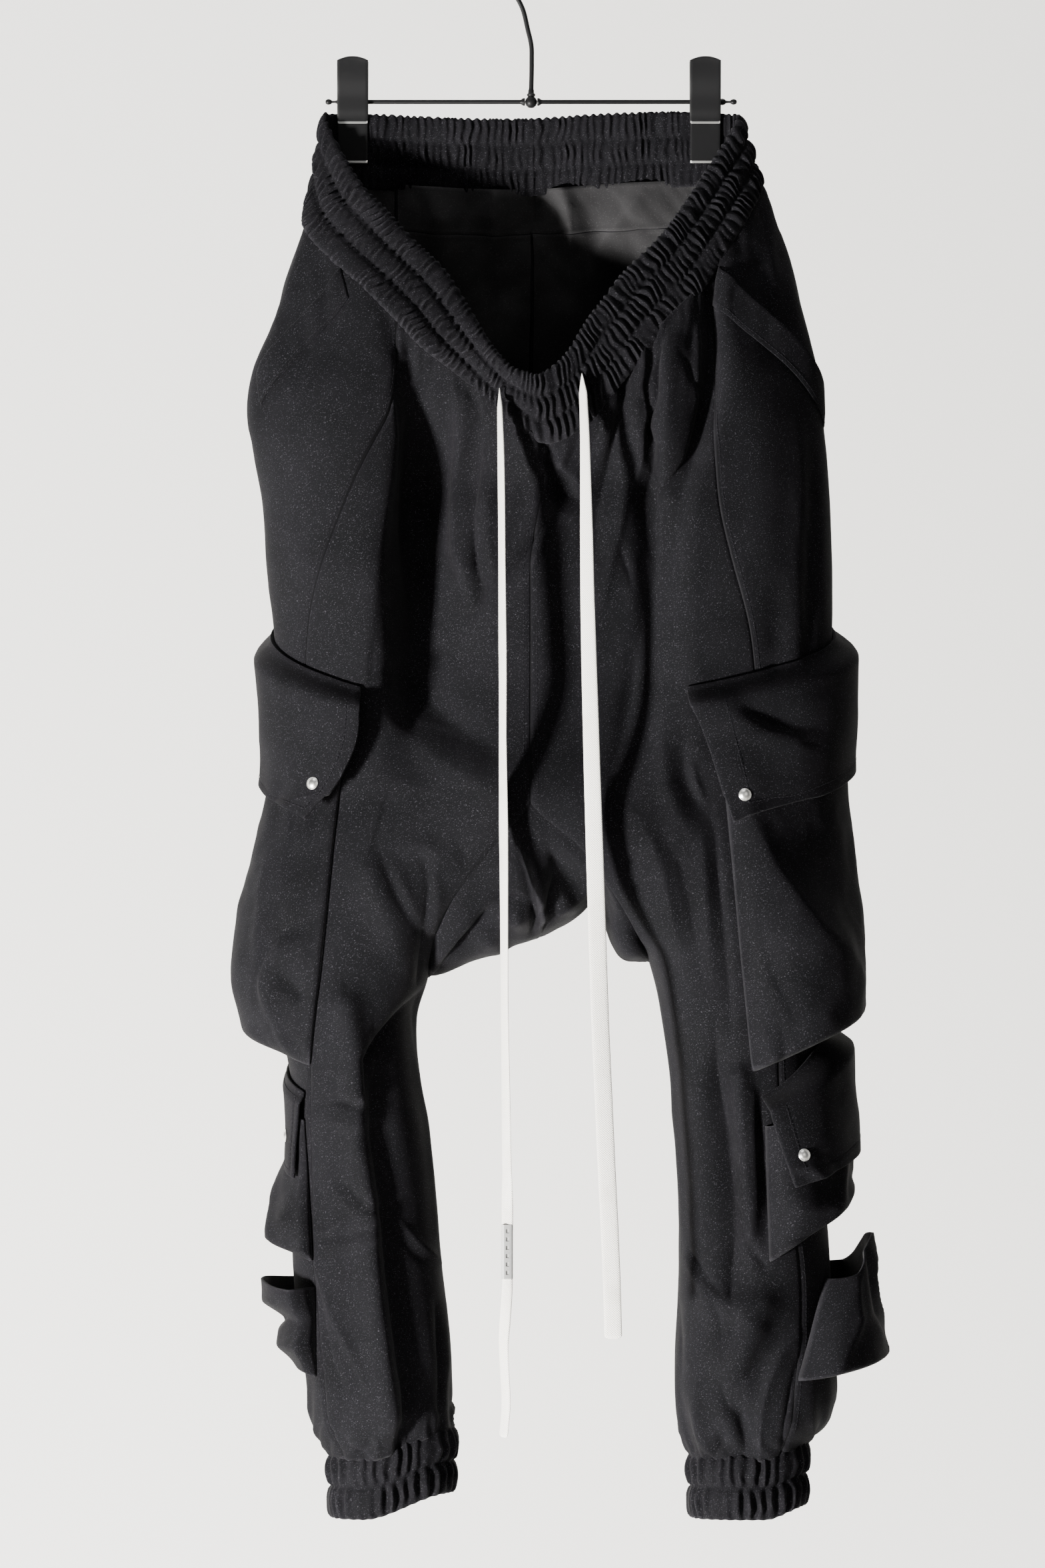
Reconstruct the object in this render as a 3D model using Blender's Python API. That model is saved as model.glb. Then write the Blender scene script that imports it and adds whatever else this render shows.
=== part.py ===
"""Cargo harem pants hanging by the back waistband from a clip hanger.

The origin is the inner top of the hanger's hook, +Z is up and the garment's front
faces -Y.  Heights in the tables are drops in millimetres below the hanger's bar.
Each half of the trousers is one surface that runs from the front edge, round the
outer side, to the back edge; front, side and back panels are cut out of it.
"""
from collections import namedtuple
from math import acos, cos, exp, floor, hypot, pi, radians, sin

import bmesh
import bpy
from mathutils import Matrix, Vector

MM = 0.001
CRISP_ANGLE = 50.0              # degrees between faces above which an edge stays crisp

# ---------------------------------------------------------------- driving dimensions (mm)
CLOTH = 1.8                     # wall of every cloth panel
SEAM_TRIM = 0.4                 # each panel stops this far short of its seam line
LIFT = 3.4                      # middle of a sewn-on piece above the middle of its panel
FORK_DROP = 492.6               # front and back tips of the gusset
CENTRE_X = 1.4                  # the centre-front and centre-back seams
CUFF_DROP = 961.0               # lower edge of the leg panels
YOKE_LEVEL = 0.075              # lower edge of the back yoke, as a share of waist to fork
WAIST_FADE = 0.38               # share of waist to fork over which panels leave the band
WAIST_GAP = 2.1                 # from the waistband's lower edge to the panels' mid line
SIDE_POWER = 0.88               # below 1 squares the plan section off a little
HALF_DEPTH = 50.0               # typical front-to-back half depth of the hips
GUSSET_SAG = 36.0               # the gusset's middle hangs this far below its seams
GUSSET_SKEW = 0.34              # the sag leans to one side by this share
GUSSET_CORNER = {"l": 620.9, "r": 612.0}
BAND_INNER = 1.6                # from a gathered band's middle to its inner face
WAIST_GATHERS = 104
WAIST_RISE = 1.0                # swing of the waistband's gathers
CUFF_GATHERS = 28
CUFF_RISE = 1.1
CUFF_HEIGHT = 45.0
CUFF_GAP = 1.7                  # from the leg panels' lower edge to the cuff
CUFF_FLARE = 0.99               # lower edge of the cuff against its upper edge
EDGE_WAVE_TOP = 0.7             # how far the gathers lift and drop a band's two edges
EDGE_WAVE_LOW = 0.3
HOOK_INNER_RADIUS = 20.0
HOOK_WIRE = 3.4
HOOK_STEP = 8.0
HOOK_TURN = (190, -31, -14)     # degrees: start, end and step of the round of the hook
BAR_LENGTH = 292.0
BAR_DIAMETER = 2.8
BAR_SIDES = 10
BAR_CENTRE_X = 1.9
BALL_DIAMETER = 8.0
BALL_GAP = 0.3
CLIP_WIDTH = 21.0
CLIP_PLATE = 1.2
CLIP_ARCH = 2.2                 # rise of the middle of a clip's top edge
CLIP_PRESS = 0.25               # share of the gathers left where a clip bites
CLIP_EASE = 10.0                # width over which the gathers come back
SPRING_LENGTH = 15.0
SPRING_INNER = 1.9
SPRING_OUTER = 3.9
SPRING_SIDES = 12
CLIP_X = {"l": -124.6, "r": 125.4}
SNAP_DIAMETER = 10.0
SNAP_HEIGHT = 2.2
SNAP_GAP = 0.7
SNAP_EDGE = 1.4                 # width of the bevel round a snap cap
SNAP_SIDES = 14
CORD_DIAMETER = 6.4
CORD_STEP = 19.0
CLAMP_SIDE = 8.4
CLAMP_BORE = 7.4
CLAMP_CUT = 0.55                # straight part of each side of the clamp
CLAMP_DROPS = (792.0, 830.0)
CLAMP_POINT = 16                # the left route's point that the clamp is centred on

BAR_Z = -(83.0 + 2.0 * HOOK_INNER_RADIUS)     # the bar hangs this far below the hook's top

SIGN = {"l": -1.0, "r": 1.0}

# ---------------------------------------------------------------- tables
# A plan section of one half: outermost x, x of the seam between front and side panels,
# x of the inner edge, how many degrees the wall turns in past its front middle line,
# and y of its front and back middle lines.
Section = namedtuple("Section", "drop out seam inner turn front back")

SECTIONS = {
    "l": (
        Section(40.0, -150.0, -94.0, 1.4, 0, -34, 6),
        Section(87.0, -160.0, -94.5, 1.4, 0, -50, 12),
        Section(124.5, -170.0, -94.5, 1.4, 0, -62, 18),
        Section(157.5, -177.0, -94.5, 1.4, 0, -72, 24),
        Section(190.8, -191.0, -95.5, 1.4, 0, -80, 30),
        Section(218.5, -196.0, -101.0, 1.4, 0, -84, 36),
        Section(251.5, -193.0, -114.7, 1.4, 0, -87, 41),
        Section(284.8, -187.0, -128.0, 1.4, 0, -88, 45),
        Section(329.0, -183.5, -144.8, 1.4, 0, -88, 48),
        Section(367.5, -179.5, -154.0, 1.4, 0, -86, 51),
        Section(410.0, -175.5, -156.0, 1.4, 0, -84, 53),
        Section(457.3, -172.0, -155.0, 1.4, 0, -82, 55),
        Section(492.6, -173.0, -153.7, 1.4, 0, -80, 57),
        Section(521.7, -177.0, -152.0, -25.4, 14, -78, 58),
        Section(557.9, -182.0, -152.0, -52.2, 32, -76, 58),
        Section(590.8, -184.0, -152.8, -67.2, 60, -73, 58),
        Section(620.9, -182.0, -153.7, -72.0, 90, -70, 57),
        Section(650.0, -175.0, -153.0, -80.0, 90, -67, 55),
        Section(690.0, -168.0, -153.0, -78.5, 90, -63, 53),
        Section(733.0, -164.0, -153.0, -71.9, 90, -60, 52),
        Section(780.0, -165.0, -152.0, -66.3, 90, -58, 50),
        Section(825.0, -166.0, -150.8, -62.0, 90, -56, 50),
        Section(870.0, -162.0, -148.0, -56.9, 90, -54, 50),
        Section(910.0, -156.0, -143.0, -55.5, 90, -51, 48),
        Section(940.0, -151.0, -138.0, -54.5, 90, -46, 44),
        Section(961.0, -139.5, -128.0, -53.5, 90, -36, 36),
    ),
    "r": (
        Section(40.0, 158.0, 133.0, 1.4, 0, -34, 6),
        Section(87.0, 177.0, 133.5, 1.4, 0, -50, 12),
        Section(119.0, 188.0, 133.5, 1.4, 0, -60, 18),
        Section(151.8, 194.5, 131.6, 1.4, 0, -70, 24),
        Section(196.5, 203.5, 130.7, 1.4, 0, -80, 31),
        Section(240.6, 208.7, 130.0, 1.4, 0, -85, 38),
        Section(284.8, 212.4, 133.0, 1.4, 0, -88, 45),
        Section(320.5, 214.3, 141.0, 1.4, 0, -88, 48),
        Section(367.5, 214.5, 153.7, 1.4, 0, -86, 51),
        Section(406.6, 213.0, 159.3, 1.4, 0, -84, 53),
        Section(450.7, 211.0, 163.0, 1.4, 0, -82, 55),
        Section(492.6, 209.0, 166.0, 1.4, 0, -80, 57),
        Section(525.0, 208.0, 168.0, 39.0, 14, -78, 58),
        Section(558.0, 207.7, 170.0, 62.0, 32, -76, 58),
        Section(589.0, 207.0, 172.5, 77.5, 60, -73, 58),
        Section(612.0, 206.5, 173.0, 87.0, 90, -70, 57),
        Section(650.0, 205.0, 175.0, 95.0, 90, -67, 55),
        Section(694.0, 206.0, 176.0, 103.0, 90, -64, 53),
        Section(733.0, 208.5, 178.0, 106.0, 90, -61, 52),
        Section(780.0, 210.0, 184.0, 108.0, 90, -59, 51),
        Section(825.0, 213.0, 191.0, 107.0, 90, -58, 51),
        Section(870.0, 214.0, 192.0, 104.8, 90, -56, 50),
        Section(910.0, 218.0, 188.0, 104.8, 90, -53, 48),
        Section(940.0, 212.0, 185.0, 109.0, 90, -47, 44),
        Section(961.0, 196.0, 178.0, 115.5, 90, -36, 36),
    ),
}

# The waistband's upper and lower edges, from centre back over the left side to centre
# front and back over the right side.
Station = namedtuple("Station", "x y drop x_low y_low drop_low")

BAND_STATIONS = (
    Station(3.3, 4.0, 11.8, 3.3, 14.0, 65.8),
    Station(-43.7, 3.0, 11.8, -43.7, 12.0, 65.5),
    Station(-90.7, 1.2, 9.9, -90.7, 8.0, 63.0),
    Station(-108.0, -0.5, 9.0, -108.5, -0.5, 62.5),
    Station(-137.5, -0.5, 8.6, -140.0, -0.5, 61.0),
    Station(-144.0, -9.0, 13.0, -153.0, -5.0, 66.0),
    Station(-120.0, -27.0, 56.9, -160.0, -24.0, 88.0),
    Station(-101.0, -36.0, 77.6, -142.4, -40.0, 111.4),
    Station(-82.3, -45.0, 98.7, -121.3, -54.0, 130.2),
    Station(-58.3, -54.0, 122.7, -95.4, -66.0, 155.6),
    Station(-41.4, -62.0, 149.5, -76.1, -72.0, 176.3),
    Station(-27.3, -71.0, 173.0, -50.5, -68.0, 196.0),
    Station(-13.2, -79.0, 189.9, -24.6, -68.0, 218.0),
    Station(-1.4, -83.0, 195.0, -4.0, -73.0, 236.0),
    Station(8.9, -84.0, 196.0, 14.6, -77.0, 244.9),
    Station(25.4, -80.0, 182.8, 40.9, -77.0, 231.7),
    Station(40.4, -72.0, 158.9, 67.0, -75.0, 201.2),
    Station(54.0, -64.0, 140.5, 88.2, -71.0, 174.6),
    Station(67.7, -57.0, 122.7, 102.0, -65.0, 158.4),
    Station(91.7, -46.0, 98.7, 121.7, -56.0, 137.7),
    Station(109.5, -36.0, 74.7, 141.0, -44.0, 107.0),
    Station(126.5, -24.0, 48.4, 158.0, -28.0, 79.0),
    Station(147.5, -9.5, 14.0, 165.0, -8.0, 60.0),
    Station(141.0, -0.5, 8.8, 145.0, -0.5, 60.0),
    Station(108.0, -0.5, 7.2, 108.5, -0.5, 60.5),
    Station(53.0, 3.0, 8.5, 53.0, 12.0, 62.5),
)

# Station number that meets each half's front edge, front/side seam, side/back seam and
# back edge.
BAND_SEAMS = {"l": (14.0, 9.0, 2.1, 0.0), "r": (14.0, 19.7, 23.6, 26.0)}

# Across a gathered band: share of its height, stand-out of its outer face and how much
# of the gathers shows there.
Rib = namedtuple("Rib", "height out gather")

WAIST_RIBS = (
    Rib(0.0, 1.0, 0.5), Rib(0.17, 2.2, 1.0), Rib(0.34, 1.2, 0.3), Rib(0.5, 2.2, 1.0),
    Rib(0.66, 1.2, 0.3), Rib(0.83, 2.2, 1.0), Rib(1.0, 1.2, 0.4),
)
CUFF_RIBS = (
    Rib(0.0, 1.2, 0.4), Rib(0.3, 2.6, 1.0), Rib(0.6, 1.2, 0.3), Rib(0.8, 2.4, 1.0),
    Rib(1.0, 1.4, 0.6),
)

# A soft ridge (rise above 0) or trough along a line seen from the front or the back.
Fold = namedtuple("Fold", "x drop x_end drop_end rise half_width")

FRONT_FOLDS = (
    Fold(-92.0, 170.0, -74.0, 360.0, -17.0, 19.0),
    Fold(-74.0, 360.0, -96.0, 430.0, -8.0, 20.0),
    Fold(-155.0, 215.0, -160.0, 330.0, 10.0, 28.0),
    Fold(-48.0, 215.0, -44.0, 330.0, 7.0, 13.0),
    Fold(127.0, 150.0, 121.0, 242.0, -11.0, 9.0),
    Fold(121.0, 242.0, 98.0, 285.0, -11.0, 10.0),
    Fold(98.0, 285.0, 77.0, 400.0, -9.0, 11.0),
    Fold(77.0, 400.0, 62.0, 475.0, -6.0, 12.0),
    Fold(102.0, 180.0, 88.0, 260.0, 7.0, 10.0),
    Fold(165.0, 200.0, 168.0, 330.0, 9.0, 30.0),
    Fold(78.0, 215.0, 90.0, 262.0, -6.0, 7.0),
    Fold(14.0, 268.0, 32.0, 290.0, -5.0, 10.0),
    Fold(-112.0, 545.0, -86.0, 605.0, 6.0, 12.0),
    Fold(-128.0, 640.0, -122.0, 705.0, 7.0, 12.0),
    Fold(-114.0, 690.0, -110.0, 800.0, 8.0, 9.0),
    Fold(-110.0, 800.0, -97.0, 935.0, 8.0, 10.0),
    Fold(129.0, 684.0, 134.0, 775.0, -15.0, 9.0),
    Fold(134.0, 775.0, 140.0, 838.0, -13.0, 9.0),
    Fold(147.0, 690.0, 151.0, 800.0, 5.0, 8.0),
    Fold(116.0, 700.0, 119.0, 800.0, 4.0, 8.0),
    Fold(130.0, 850.0, 168.0, 848.0, 9.0, 12.0),
    Fold(168.0, 850.0, 142.0, 895.0, 8.0, 12.0),
)
BACK_FOLDS = (
    Fold(-70.0, 130.0, -95.0, 330.0, 8.0, 16.0),
    Fold(74.0, 130.0, 104.0, 330.0, 8.0, 16.0),
    Fold(-20.0, 150.0, -28.0, 300.0, -7.0, 13.0),
    Fold(32.0, 150.0, 38.0, 290.0, -6.0, 13.0),
    Fold(-44.0, 350.0, -90.0, 540.0, 9.0, 18.0),
    Fold(50.0, 350.0, 108.0, 540.0, 9.0, 18.0),
    Fold(-116.0, 640.0, -104.0, 800.0, 8.0, 12.0),
    Fold(150.0, 640.0, 158.0, 800.0, 8.0, 12.0),
    Fold(-134.0, 700.0, -92.0, 760.0, -6.0, 11.0),
    Fold(184.0, 690.0, 132.0, 745.0, -6.0, 11.0),
    Fold(-100.0, 850.0, -96.0, 940.0, 6.0, 10.0),
    Fold(160.0, 850.0, 156.0, 940.0, 6.0, 10.0),
)

# A bellows bag: x and drop of its front edge at mouth and bottom, drops of its back
# edge, how far round the side it wraps, how far its ridge stands in from its front edge,
# its depth at mouth and bottom, the share of that depth along its front ridge, and how
# far its sewn edges stand above the panel's middle.
Bag = namedtuple(
    "Bag", "name side x_mouth drop_mouth x_bottom drop_bottom back_mouth back_bottom "
    "wrap inset_mouth inset_bottom deep_mouth deep_bottom front_share sewn")

BAGS = (
    Bag("upper_bag_l", "l", -127.0, 436.0, -153.0, 681.0, 374.0, 662.0, 36,
        6.0, 8.0, 7.0, 24.0, 0.45, 3.4),
    Bag("upper_bag_r", "r", 133.0, 436.0, 157.5, 684.0, 376.0, 636.0, 38,
        9.0, 24.0, 10.0, 28.0, 1.0, 3.4),
    Bag("lower_bag_l", "l", -156.5, 720.0, -151.0, 819.0, 692.0, 800.0, 58,
        4.0, 5.0, 6.0, 14.0, 0.6, 2.3),
    Bag("lower_bag_r", "r", 167.0, 724.0, 170.0, 819.0, 677.0, 752.0, 42,
        12.0, 19.0, 14.0, 19.0, 1.0, 3.4),
    Bag("calf_bag_l", "l", -151.0, 828.0, -149.0, 901.0, 824.0, 890.0, 58,
        4.0, 5.0, 8.0, 14.0, 0.6, 2.1),
    Bag("calf_bag_r", "r", 192.0, 833.0, 190.0, 903.0, 824.0, 893.0, 45,
        9.0, 9.0, 27.0, 34.0, 0.7, 2.2),
)

# A flap: x and drop of its front edge above and below, drops of its back edge, wrap,
# its stand-off over the bag, extra stand-off at its free front corner, its snap as
# shares of its width and height, and how far its sewn edge stands above the panel.
Flap = namedtuple(
    "Flap", "name side x_top drop_top x_low drop_low back_top back_low wrap stand "
    "corner snap_across snap_down sewn")

FLAPS = (
    Flap("upper_flap_l", "l", -117.5, 415.5, -145.0, 505.0, 352.0, 452.0, 40, 12.5, 9.0,
         0.2, 0.72, 2.8),
    Flap("upper_flap_r", "r", 110.9, 415.5, 139.0, 512.0, 352.0, 455.0, 42, 16.0, 3.0,
         0.1, 0.72, 2.8),
    Flap("lower_flap_l", "l", -156.0, 700.0, -156.0, 759.0, 668.0, 738.0, 62, 14.0, 3.0,
         0.2, 0.72, 2.5),
    Flap("lower_flap_r", "r", 163.5, 704.0, 178.0, 766.0, 651.0, 738.0, 45, 21.5, 2.0,
         0.1, 0.72, 2.6),
)

# The slanted mouth of a hand pocket, in panel coordinates: columns 1 to 2 are the side
# panel, levels run from 0 at the waistband to 1 at the fork.
HandPocket = namedtuple("HandPocket", "name side column level column_end level_end sewn")

HAND_POCKETS = (
    HandPocket("hand_pocket_l", "l", 1.08, 0.022, 1.47, 0.235, 4.4),
    HandPocket("hand_pocket_r", "r", 1.05, 0.022, 1.45, 0.33, 2.8),
)

# Routes of the two free drawcord ends: x, y and drop.
Point = namedtuple("Point", "x y drop")

CORD_ROUTES = {
    "l": (
        Point(-20.4, -79.5, 206.0), Point(-20.0, -84.5, 224.0), Point(-19.4, -90.0, 250.0),
        Point(-18.9, -95.5, 284.0), Point(-18.6, -98.0, 324.0), Point(-18.3, -98.5, 366.0),
        Point(-18.0, -98.0, 410.0), Point(-18.0, -97.0, 455.0), Point(-17.6, -95.8, 500.0),
        Point(-17.2, -94.5, 545.0), Point(-17.0, -93.0, 590.0), Point(-16.8, -92.0, 635.0),
        Point(-16.2, -91.2, 680.0), Point(-15.6, -90.9, 725.0), Point(-15.0, -90.8, 765.0),
        Point(-14.8, -90.8, 790.0), Point(-14.8, -90.8, 812.0), Point(-14.8, -90.8, 834.0),
        Point(-16.2, -90.4, 856.0), Point(-17.4, -90.0, 876.0), Point(-16.6, -90.0, 898.0),
        Point(-15.8, -90.0, 918.0), Point(-17.6, -90.0, 941.0),
    ),
    "r": (
        Point(37.4, -83.8, 196.0), Point(38.4, -86.6, 214.0), Point(39.4, -92.0, 240.0),
        Point(40.0, -96.0, 274.0), Point(40.6, -98.0, 312.0), Point(41.2, -98.5, 352.0),
        Point(42.2, -98.0, 394.0), Point(43.4, -97.0, 436.0), Point(44.6, -96.0, 478.0),
        Point(46.0, -94.6, 522.0), Point(47.4, -93.2, 566.0), Point(48.8, -92.2, 608.0),
        Point(50.2, -91.6, 650.0), Point(52.4, -91.2, 700.0), Point(54.6, -91.0, 750.0),
        Point(56.8, -91.0, 795.0), Point(58.4, -91.0, 835.0), Point(59.4, -91.0, 872.0),
    ),
}

# The turned bar: distance from its middle as a share of half its length, and radius.
Turn = namedtuple("Turn", "share radius")

BAR_TURNS = (
    Turn(0.0, BAR_DIAMETER / 2), Turn(0.92, BAR_DIAMETER / 2), Turn(0.925, 2.1),
    Turn(0.94, 2.1), Turn(0.946, 0.9),
    Turn(0.968, 0.8), Turn(0.973, 1.8), Turn(0.993, 1.9), Turn(1.0, 1.2),
)

# A clip plate seen from the side: drop and distance of its inner face from the cloth's
# middle plane.
Bend = namedtuple("Bend", "drop away")

CLIP_BENDS = (
    Bend(-27.0, 8.6), Bend(-14.0, 7.2), Bend(-4.0, 5.0), Bend(6.0, 3.9), Bend(13.0, 2.8),
    Bend(43.5, 2.8),
)

# The hook's wire between the ball and the round of the hook: x and drop.
HOOK_NECK = (
    (0.0, -4.6), (0.5, -14.0), (1.0, -28.0), (1.0, -40.0), (-1.2, -51.0), (-4.6, -66.0),
    (-11.0, -78.5), (-18.0, -90.0),
)

# Rows and columns of the grids.
BODY_LEVELS = (0.0, 0.08, 0.17, 0.26, 0.35, 0.45, 0.55, 0.66, 0.77, 0.88, 1.0)
LEG_DROPS = (652.0, 693.0, 733.0, 770.0, 808.0, 846.0, 882.0, 914.0, 941.0, CUFF_DROP)
FRONT_COLUMNS = 10
SIDE_COLUMNS = (1.0, 1.14, 1.28, 1.40, 1.50, 1.58, 1.66, 1.74, 1.86, 2.0)
BACK_COLUMNS = 8
YOKE_COLUMNS = 9
YOKE_ROWS = 3
GUSSET_STEPS = 6
BAND_FINE = 40
BAG_ROWS = (0.0, 0.25, 0.5, 0.74, 0.93, 1.0)
BAG_COLUMNS = 8
FLAP_ROWS = (0.0, 0.07, 0.15, 0.43, 0.72, 1.0)
FLAP_COLUMNS = 11
FACING_ROWS = 11
FACING_COLUMNS = 3

CLOTH_COLOUR = (0.018, 0.017, 0.021, 1.0)
PAINTED_STEEL_COLOUR = (0.02, 0.02, 0.021, 1.0)
CORD_COLOUR = (0.82, 0.80, 0.76, 1.0)
SILVER_COLOUR = (0.78, 0.77, 0.74, 1.0)


# ---------------------------------------------------------------- small helpers
def make_material(name, colour, roughness, metallic):
    """A Principled material with one colour."""
    material = bpy.data.materials.new(name)
    material.use_nodes = True
    shader = material.node_tree.nodes["Principled BSDF"]
    shader.inputs["Base Color"].default_value = colour
    shader.inputs["Roughness"].default_value = roughness
    shader.inputs["Metallic"].default_value = metallic
    return material


def place(x, y, drop):
    """A point in metres from millimetres measured at the bar."""
    return Vector((x * MM, y * MM, (BAR_Z - drop) * MM))


def mix(a, b, share):
    """Straight blend from a to b."""
    return a + (b - a) * share


def smooth(share):
    """Soft step from 0 to 1."""
    share = min(max(share, 0.0), 1.0)
    return share * share * (3.0 - 2.0 * share)


def scatter(index, salt=0):
    """A repeatable number from 0 to 1 for an index."""
    value = sin(index * 12.9898 + salt * 78.233) * 43758.5453
    return value - floor(value)


def hermite(a, b, slope_a, slope_b, share):
    """Cubic from a to b with the given end slopes."""
    square = share * share
    cube = square * share
    return ((2 * cube - 3 * square + 1) * a + (cube - 2 * square + share) * slope_a
            + (3 * square - 2 * cube) * b + (cube - square) * slope_b)


def read_rows(rows, at):
    """Smooth row of a table whose first column rises, at one value of that column."""
    at = min(max(at, rows[0][0]), rows[-1][0])
    last = len(rows) - 1
    k = max(i for i in range(last) if rows[i][0] <= at)
    before, start, end = rows[max(k - 1, 0)], rows[k], rows[k + 1]
    after = rows[min(k + 2, last)]
    span = end[0] - start[0]
    share = (at - start[0]) / span
    values = [at]
    for column in range(1, len(start)):
        slope_a = (end[column] - before[column]) / (end[0] - before[0]) * span
        slope_b = (after[column] - start[column]) / (after[0] - start[0]) * span
        values.append(hermite(start[column], end[column], slope_a, slope_b, share))
    return type(start)(*values)


def read_loop(rows, at):
    """Smooth row of a closed table at a fractional row number."""
    count = len(rows)
    k = floor(at)
    share = at - k
    before, start, end, after = (rows[(k + shift) % count] for shift in (-1, 0, 1, 2))
    return type(start)(*(
        hermite(b, c, (c - a) / 2, (d - b) / 2, share)
        for a, b, c, d in zip(before, start, end, after)))


# ---------------------------------------------------------------- the trouser surface
def read_section(side, drop):
    """Plan section of one half at a drop."""
    section = read_rows(SECTIONS[side], drop)
    if drop <= FORK_DROP:
        return section._replace(inner=CENTRE_X, turn=0.0)
    return section._replace(turn=min(section.turn, 90.0))


def half_axes(section, side):
    """Half width and centre x of a plan section."""
    half = SIGN[side] * (section.out - section.inner) / (1.0 + sin(radians(section.turn)))
    return half, section.out - SIGN[side] * half


def angle_at(section, side, x):
    """Degrees from the outermost line, round the front, to the wall at x."""
    half, centre = half_axes(section, side)
    reach = SIGN[side] * (x - centre) / half
    size = min(abs(reach), 1.0) ** (1.0 / SIDE_POWER)
    return acos(size if reach >= 0 else -size) * 180.0 / pi


def fold_rise(folds, x, drop):
    """Sum of the soft ridges and troughs at a place."""
    total = 0.0
    for fold in folds:
        run_x = fold.x_end - fold.x
        run_drop = fold.drop_end - fold.drop
        length_squared = run_x * run_x + run_drop * run_drop
        share = ((x - fold.x) * run_x + (drop - fold.drop) * run_drop) / length_squared
        share = min(max(share, 0.0), 1.0)
        away = hypot(x - fold.x - share * run_x, drop - fold.drop - share * run_drop)
        total += fold.rise * exp(-(away / fold.half_width) ** 2)
    return total


def signed_power(value, power):
    """A power that keeps the sign."""
    return abs(value) ** power * (1.0 if value >= 0 else -1.0)


def wall_place(side, drop, angle):
    """Middle of the cloth at a drop and an angle round one half, in millimetres."""
    section = read_section(side, drop)
    half, centre = half_axes(section, side)
    middle = (section.front + section.back) / 2
    depth = (section.back - section.front) / 2
    turn = radians(angle)
    x = centre + SIGN[side] * half * signed_power(cos(turn), SIDE_POWER)
    y = middle - depth * signed_power(sin(turn), SIDE_POWER)
    folds = FRONT_FOLDS if angle > 0 else BACK_FOLDS
    facing = abs(sin(turn)) * smooth(abs(angle) / 40.0)
    outward = 1.0 if angle < 0 else -1.0
    return Vector((x, y + outward * facing * fold_rise(folds, x, drop), -drop))


def column_angle(side, drop, column):
    """Angle of a panel column: 0 front edge, 1 and 2 the side seams, 3 back edge."""
    section = read_section(side, drop)
    edge = 90.0 + section.turn
    seam = angle_at(section, side, section.seam)
    if column <= 1.0:
        return mix(edge, seam, column)
    if column <= 2.0:
        return mix(seam, -seam, column - 1.0)
    return mix(-seam, -edge, column - 2.0)


def band_low(side, column):
    """Lower edge of the waistband over a panel column, in millimetres."""
    seams = BAND_SEAMS[side]
    k = min(int(column), 2)
    station = read_loop(BAND_STATIONS, mix(seams[k], seams[k + 1], column - k))
    top = Vector((station.x, station.y, -station.drop))
    low = Vector((station.x_low, station.y_low, -station.drop_low))
    return low + (low - top).normalized() * WAIST_GAP


def panel_place(side, column, level):
    """Middle of the cloth: level 0 at the waistband, 1 at the fork, 2 at the cuff."""
    if level >= 1.0:
        drop = mix(FORK_DROP, CUFF_DROP, level - 1.0)
        return wall_place(side, drop, column_angle(side, drop, column))
    start = band_low(side, column)
    drop = mix(-start.z, FORK_DROP, level)
    free = wall_place(side, drop, column_angle(side, drop, column))
    top = wall_place(side, -start.z, column_angle(side, -start.z, column))
    pull = 1.0 - smooth(level / WAIST_FADE)
    shift = start - top
    return free + Vector((shift.x, shift.y, 0.0)) * pull


def outward_at(sample, a, b, step_a, step_b, outside):
    """Unit normal of a sampled surface, turned away from a point inside."""
    along = sample(a + step_a, b) - sample(a - step_a, b)
    down = sample(a, b + step_b) - sample(a, b - step_b)
    normal = along.cross(down).normalized()
    return normal if normal.dot(outside) >= 0 else -normal


def from_axis(side, point):
    """Rough outward direction of a place on one half."""
    section = read_section(side, -point.z)
    half, centre = half_axes(section, side)
    middle = (section.front + section.back) / 2
    return Vector(((point.x - centre) / half ** 2, (point.y - middle) / HALF_DEPTH ** 2, 0.0))


def lifted_wall(side, drop, angle, lift):
    """A place that stands out from the wall by a lift."""
    def sample(a, d):
        return wall_place(side, d, a)
    point = sample(angle, drop)
    normal = outward_at(sample, angle, drop, 1.5, 2.0, from_axis(side, point))
    return point + normal * lift


def lifted_panel(side, column, level, lift):
    """A place that stands out from a panel by a lift."""
    def sample(c, v):
        return panel_place(side, c, v)
    point = sample(column, level)
    normal = outward_at(sample, column, level, 0.01, 0.01, from_axis(side, point))
    return point + normal * lift


# ---------------------------------------------------------------- solids from grids
def trimmed(rows, edges="tblr"):
    """Pull a grid's border in by the seam trim: t top, b bottom, l first, r last."""
    rows = [[point.copy() for point in row] for row in rows]
    if "l" in edges:
        for row in rows:
            row[0] += (row[1] - row[0]).normalized() * SEAM_TRIM
    if "r" in edges:
        for row in rows:
            row[-1] += (row[-2] - row[-1]).normalized() * SEAM_TRIM
    if "t" in edges:
        rows[0] = [p + (q - p).normalized() * SEAM_TRIM for p, q in zip(rows[0], rows[1])]
    if "b" in edges:
        rows[-1] = [p + (q - p).normalized() * SEAM_TRIM
                    for p, q in zip(rows[-1], rows[-2])]
    return rows


def new_object(name, mesh, material):
    """Link a mesh as a smooth-shaded object with crisp corners."""
    mesh.shade_smooth()
    mesh.set_sharp_from_angle(angle=radians(CRISP_ANGLE))
    obj = bpy.data.objects.new(name, mesh)
    obj.data.materials.append(material)
    bpy.context.collection.objects.link(obj)
    return obj


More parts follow.
